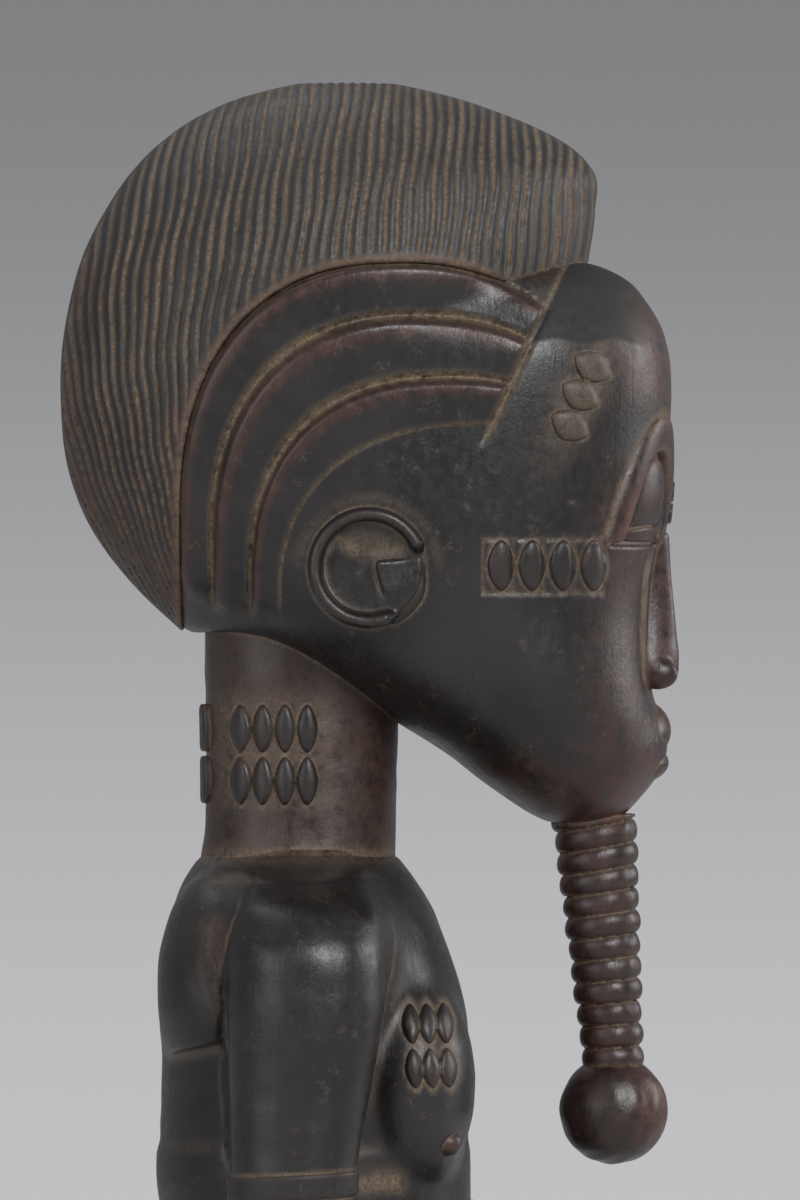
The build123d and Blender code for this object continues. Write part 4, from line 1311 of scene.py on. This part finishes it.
class CARVING_OT_hair(CarvingOperator, bpy.types.Operator):
    """Sculpt the comb-cut crest of hair"""

    bl_idname = "carving.hair"
    bl_label = "Hair"

    def execute(self, context):
        self.begin(context)
        self.sculpt(
            "comb_cut_crest", crest_field, box_of("hair_crest"), 0.6, "hair_wood", "hair_crest",
            neighbours=(head_field,), dust=crest_dust,
        )
        return {"FINISHED"}


class CARVING_OT_head(CarvingOperator, bpy.types.Operator):
    """Sculpt the head with the braids over its ears"""

    bl_idname = "carving.head"
    bl_label = "Head"

    def execute(self, context):
        self.begin(context)
        self.sculpt(
            "carved_head", head_field, box_of("head"), 0.6, "skin_wood",
            "head", *sides("side_braids"),
            neighbours=(
                crest_field, neck_column, ear_field, brow_field, eye_field, temple_beads,
                cheek_beads,
            ),
            dust=head_dust, rub=head_rub, soot=head_soot,
        )
        return {"FINISHED"}


class CARVING_OT_face(CarvingOperator, bpy.types.Operator):
    """Sculpt the nose, lips, eyes and brows"""

    bl_idname = "carving.face"
    bl_label = "Face"

    def execute(self, context):
        self.begin(context)
        self.sculpt("long_nose", nose_field, box_of("nose"), 0.4, "rubbed_wood", "nose",
                    neighbours=(head_field,), reach=0.6, rub=everywhere(0.3))
        self.sculpt("two_lips", lips_field, box_of("lips", margin=9.0), 0.35, "rubbed_wood", "lips",
                    neighbours=(head_field,), reach=0.3, rub=everywhere(0.3))
        face_box = box_of("right_brow", "left_brow", margin=12.0)
        self.sculpt("lid_bands", brow_field, face_box, 0.4, "rubbed_wood", *sides("brow"),
                    neighbours=(head_field,), reach=0.5, rub=everywhere(0.25))
        self.sculpt("heavy_eyes", eye_field, face_box, 0.35, "rubbed_wood", *sides("eye"),
                    neighbours=(brow_field,), reach=0.5, rub=everywhere(0.2))
        return {"FINISHED"}


class CARVING_OT_ears(CarvingOperator, bpy.types.Operator):
    """Sculpt both ears"""

    bl_idname = "carving.ears"
    bl_label = "Ears"

    def execute(self, context):
        self.begin(context)
        for side in SIDES:
            self.sculpt(side + "_c_shaped_ear", ear_field, box_of(side + "_ear"), 0.35,
                        "rubbed_wood", side + "_ear",
                        neighbours=(head_field,), reach=0.5, rub=everywhere(-0.22))
        return {"FINISHED"}


class CARVING_OT_beard(CarvingOperator, bpy.types.Operator):
    """Sculpt the ringed beard and its ball"""

    bl_idname = "carving.beard"
    bl_label = "Beard"

    def execute(self, context):
        self.begin(context)
        self.sculpt("ringed_beard", beard_field, box_of("beard_shaft"), 0.36, "rubbed_wood",
                    "beard_shaft", neighbours=(head_field, ball_field), rub=everywhere(0.25))
        self.sculpt("beard_end_ball", ball_field, box_of("beard_ball"), 0.36, "rubbed_wood",
                    "beard_ball", neighbours=(beard_field,), rub=ball_rub)
        return {"FINISHED"}


class CARVING_OT_trunk(CarvingOperator, bpy.types.Operator):
    """Sculpt the neck, the trunk with its upper arms, and the nipples"""

    bl_idname = "carving.trunk"
    bl_label = "Trunk"

    def execute(self, context):
        self.begin(context)
        low, high = box_of("neck")
        low[2] -= 0.1 * NECK.height
        high[2] += 0.3 * NECK.height
        self.sculpt("plain_neck", neck_field, (low, high), 0.7, "skin_wood", "neck",
                    neighbours=(head_field, trunk_field, neck_beads, nape_beads),
                    dust=neck_dust, rub=everywhere(0.22))
        nodes = ["chest", "abdomen", "navel"] + sides("pectoral", "shoulder_blade", "upper_arm")
        trunk_box = box_of("chest", "abdomen", *sides("upper_arm"), margin=7.0)
        self.sculpt("trunk_and_arms", trunk_field, trunk_box, 0.75, "skin_wood", *nodes,
                    neighbours=(neck_column, armlet_field, chest_beads),
                    dust=trunk_dust, soot=arm_crack)
        for side in (-1, 1):
            name = "right" if side < 0 else "left"
            low, high = box_of(name + "_nipple", margin=12.0)
            (low if side > 0 else high)[0] = side * 12.0
            self.sculpt(name + "_round_nipple", nipple_field, (low, high), 0.35, "rubbed_wood",
                        name + "_nipple",
                        neighbours=(trunk_field,), reach=0.5, rub=everywhere(0.4))
        return {"FINISHED"}


class CARVING_OT_arms(CarvingOperator, bpy.types.Operator):
    """Sculpt the armlets, forearms and hands"""

    bl_idname = "carving.arms"
    bl_label = "Arms"

    def execute(self, context):
        self.begin(context)
        for side in SIDES:
            self.sculpt(side + "_band_armlet", armlet_field, box_of(side + "_armlet"), 0.45,
                        "cloth_wood", side + "_armlet", neighbours=(trunk_field,), reach=0.45)
            self.sculpt(side + "_lower_arm", forearm_field, box_of(side + "_forearm"), 0.7,
                        "skin_wood", side + "_forearm", neighbours=(trunk_field, hand_field))
            self.sculpt(side + "_flat_hand", hand_field, box_of(side + "_hand"), 0.45,
                        "rubbed_wood", side + "_hand",
                        neighbours=(trunk_field,), reach=0.6, rub=everywhere(0.15))
        return {"FINISHED"}


class CARVING_OT_hips(CarvingOperator, bpy.types.Operator):
    """Sculpt the hips, the belt and both ends of the loincloth"""

    bl_idname = "carving.hips"
    bl_label = "Hips"

    def execute(self, context):
        self.begin(context)
        self.sculpt("round_hips", hips_field, box_of("hips", margin=7.0), 0.8, "skin_wood", "hips",
                    neighbours=(trunk_field, belt_field, leg_field))
        self.sculpt("twisted_belt", belt_field, box_of("loincloth_belt"), 0.5, "cloth_wood",
                    "loincloth_belt", neighbours=(hips_field,))
        for name, node in (("front_cloth", "loincloth_front"), ("back_cloth", "loincloth_back")):
            self.sculpt(name, flap_field, box_of(node, margin=1.0), 0.5, "cloth_wood", node,
                        neighbours=(hips_field, leg_field))
        return {"FINISHED"}


class CARVING_OT_legs(CarvingOperator, bpy.types.Operator):
    """Sculpt both bent legs with their feet"""

    bl_idname = "carving.legs"
    bl_label = "Legs"

    def execute(self, context):
        self.begin(context)
        for side in SIDES:
            nodes = [side + "_" + part for part in ("thigh", "calf", "foot")]
            self.sculpt(side + "_bent_leg", leg_field, box_of(*nodes), 0.8, "skin_wood", *nodes,
                        neighbours=(hips_field, base_field))
        return {"FINISHED"}


class CARVING_OT_base(CarvingOperator, bpy.types.Operator):
    """Sculpt the round base"""

    bl_idname = "carving.base"
    bl_label = "Base"

    def execute(self, context):
        self.begin(context)
        self.sculpt("round_base", base_field, box_of("base_disc"), 0.9, "base_wood", "base_disc",
                    neighbours=(leg_field,))
        return {"FINISHED"}


class CARVING_OT_scars(CarvingOperator, bpy.types.Operator):
    """Sculpt every group of raised scar beads"""

    bl_idname = "carving.scars"
    bl_label = "Scars"

    def execute(self, context):
        self.begin(context)
        for side in SIDES:
            for group, field in (
                ("temple", temple_beads), ("cheek", cheek_beads),
                ("neck", neck_beads), ("chest", chest_beads),
            ):
                node = f"{side}_{group}_scars"
                host = {"neck": neck_column, "chest": trunk_field}.get(group, head_field)
                self.sculpt(f"{side}_{group}_beads", field, box_of(node, margin=4.0), 0.36,
                            "scar_wood", node, neighbours=(host,), reach=0.4,
                            dust=everywhere(0.5) if group == "temple" else None)
        for name, field, node, host in (
            ("hairline_bead", hairline_bead, "hairline_scar", head_field),
            ("bridge_beads", bridge_beads, "bridge_scars", head_field),
            ("nape_beads", nape_beads, "nape_scars", neck_column),
        ):
            self.sculpt(name, field, box_of(node, margin=4.0), 0.36, "scar_wood", node,
                        neighbours=(host,), reach=0.4)
        return {"FINISHED"}


# Metres from the figure's middle; the backdrop stands on the side away from the camera.
FLOOR_REACH = 3.0
BACKDROP_FAR, BACKDROP_HALF, BACKDROP_LOW, BACKDROP_HIGH = 3.4, 4.0, -0.6, 4.0
# Painted shade: the glowing backdrop darkens between these heights.
BACKDROP_PAINTED_SHADE = (0.02, 0.72)  # heights between which the backdrop darkens
# Each lamp's name, place and size in metres, and power in watts.
LAMPS = (
    ("key_lamp", (-1.75, -0.95, 1.5), 0.8, 38.0),
    ("fill_lamp", (-1.6, 1.5, 0.9), 1.4, 13.0),
    ("front_lamp", (0.6, -1.9, 0.9), 1.0, 14.0),
    ("top_lamp", (0.5, 0.5, 2.2), 1.1, 10.0),
)
AIM_ABOVE_MIDDLE = 0.12
WORLD_COLOUR, WORLD_STRENGTH = (0.86, 0.88, 0.92, 1.0), 0.36
# What the camera looks at, as shares of the head's depth and of the figure's height.
VIEW_FORWARD, VIEW_LEVEL = 0.4486, 0.7633


class CARVING_OT_studio(bpy.types.Operator):
    """Set up the floor, backdrop, lamps, world and camera"""

    bl_idname = "carving.studio"
    bl_label = "Studio"
    bl_options = {"REGISTER", "UNDO"}

    def execute(self, context):
        settings = context.scene.carving_studio
        make_floor(settings)
        make_backdrop(settings)
        make_lights(context)
        make_camera(context, settings)
        return {"FINISHED"}


def sheet(name, corners, material):
    mesh = bpy.data.meshes.new(name)
    mesh.from_pydata(corners, [], [(0, 1, 2, 3)])
    mesh.materials.append(material)
    add_object(name, mesh)


def make_floor(settings):
    s = Shader("studio_floor")
    shader = s.add("ShaderNodeBsdfPrincipled")
    shade = s.steps(s.noise(2.0), 0.3, 0.7)
    pale = (*settings.floor, 1.0)
    s.put(shader.inputs["Base Color"], s.mix(shade, pale, tuple(0.97 * value for value in pale)))
    shader.inputs["Roughness"].default_value = 0.85
    around_it = ((-1, -1), (1, -1), (1, 1), (-1, 1))
    corners = [(x * FLOOR_REACH, y * FLOOR_REACH, 0) for x, y in around_it]
    sheet("studio_floor", corners, s.finished(shader.outputs["BSDF"]))


def make_backdrop(settings):
    """An upright one-sided sheet behind the figure that glows for the camera, with painted shade:
    darker behind the head than the chest.
    """
    s = Shader("studio_backdrop")
    place = s.add("ShaderNodeSeparateXYZ")
    s.put(place.inputs[0], s.place)
    # Painted shade: the glow darkens from the chest's height up to the head's.
    height = s.steps(place.outputs["Z"], *BACKDROP_PAINTED_SHADE)
    colour = s.mix(height, (*settings.backdrop_low, 1.0), (*settings.backdrop_top, 1.0))
    glow = s.add("ShaderNodeEmission")
    s.put(glow.inputs["Color"], colour)
    plain = s.add("ShaderNodeBsdfDiffuse")
    plain.inputs["Color"].default_value = (*settings.floor, 1.0)
    seen = s.add("ShaderNodeLightPath").outputs["Is Camera Ray"]
    front = s.blend(seen, plain.outputs[0], glow.outputs[0])
    behind = s.add("ShaderNodeNewGeometry").outputs["Backfacing"]
    clear = s.add("ShaderNodeBsdfTransparent")
    corners = [
        (BACKDROP_FAR, side * BACKDROP_HALF, height)
        for side, height in (
            (1, BACKDROP_LOW), (-1, BACKDROP_LOW), (-1, BACKDROP_HIGH), (1, BACKDROP_HIGH)
        )
    ]
    sheet("studio_backdrop", corners, s.finished(s.blend(behind, front, clear.outputs[0])))


def make_lights(context):
    middle = (CAD_BOX[0][2] + CAD_BOX[1][2]) / 2
    for name, place, size, power in LAMPS:
        lamp = bpy.data.lights.new(name, "AREA")
        lamp.energy, lamp.size = power, size
        holder = add_object(name, lamp)
        holder.location = place
        target = np.array((0.0, 0.0, middle + AIM_ABOVE_MIDDLE)) - np.array(place)
        holder.rotation_euler = facing(target)
    world = bpy.data.worlds.new("studio_world")
    world.use_nodes = True
    shade = world.node_tree.nodes["Background"]
    shade.inputs["Color"].default_value = WORLD_COLOUR
    shade.inputs["Strength"].default_value = WORLD_STRENGTH
    context.scene.world = world


def facing(direction):
    """Rotation that points a lamp's or camera's -Z along a direction, with its top upright."""
    return Vector(direction).to_track_quat("-Z", "Y").to_euler()


def make_camera(context, settings):
    """A long lens looking along +X at the figure's right side."""
    camera = bpy.data.cameras.new("side_camera")
    camera.lens = camera.sensor_width * settings.camera_distance / settings.view_height
    holder = add_object("side_camera", camera)
    low, high = CAD_BOX[0][2], CAD_BOX[1][2]
    level = low + VIEW_LEVEL * (high - low)
    holder.location = (-settings.camera_distance, -forward_at(HEAD, VIEW_FORWARD) * MM, level)
    holder.rotation_euler = facing((1.0, 0.0, 0.0))
    context.scene.camera = holder
    context.scene.view_settings.view_transform = "Standard"


# ---------------------------------------------------------------- panel and running order

PIECE_OPERATORS = (
    CARVING_OT_base, CARVING_OT_legs, CARVING_OT_hips, CARVING_OT_trunk, CARVING_OT_arms,
    CARVING_OT_head, CARVING_OT_hair, CARVING_OT_face, CARVING_OT_ears, CARVING_OT_beard,
    CARVING_OT_scars,
)


class CARVING_PT_sidebar(bpy.types.Panel):
    """Lists the figure's pieces and the studio"""

    bl_idname = "CARVING_PT_sidebar"
    bl_label = "Carved Figure"
    bl_space_type = "VIEW_3D"
    bl_region_type = "UI"
    bl_category = "Carving"

    def draw(self, context):
        layout = self.layout
        carving = context.scene.carving
        for key in CarvingSettings.__annotations__:
            layout.prop(carving, key)
        for operator in PIECE_OPERATORS:
            layout.operator(operator.bl_idname)
        studio = context.scene.carving_studio
        for key in StudioSettings.__annotations__:
            layout.prop(studio, key)
        layout.operator(CARVING_OT_studio.bl_idname)


CLASSES = (
    CarvingSettings, StudioSettings, *PIECE_OPERATORS, CARVING_OT_studio, CARVING_PT_sidebar
)


def register():
    for item in CLASSES:
        bpy.utils.register_class(item)
    bpy.types.Scene.carving = bpy.props.PointerProperty(type=CarvingSettings)
    bpy.types.Scene.carving_studio = bpy.props.PointerProperty(type=StudioSettings)


def unregister():
    del bpy.types.Scene.carving_studio
    del bpy.types.Scene.carving
    for item in reversed(CLASSES):
        bpy.utils.unregister_class(item)


def main():
    register()
    for operator in (*PIECE_OPERATORS, CARVING_OT_studio):
        group, name = operator.bl_idname.split(".")
        getattr(getattr(bpy.ops, group), name)()


if __name__ == "__main__":
    main()
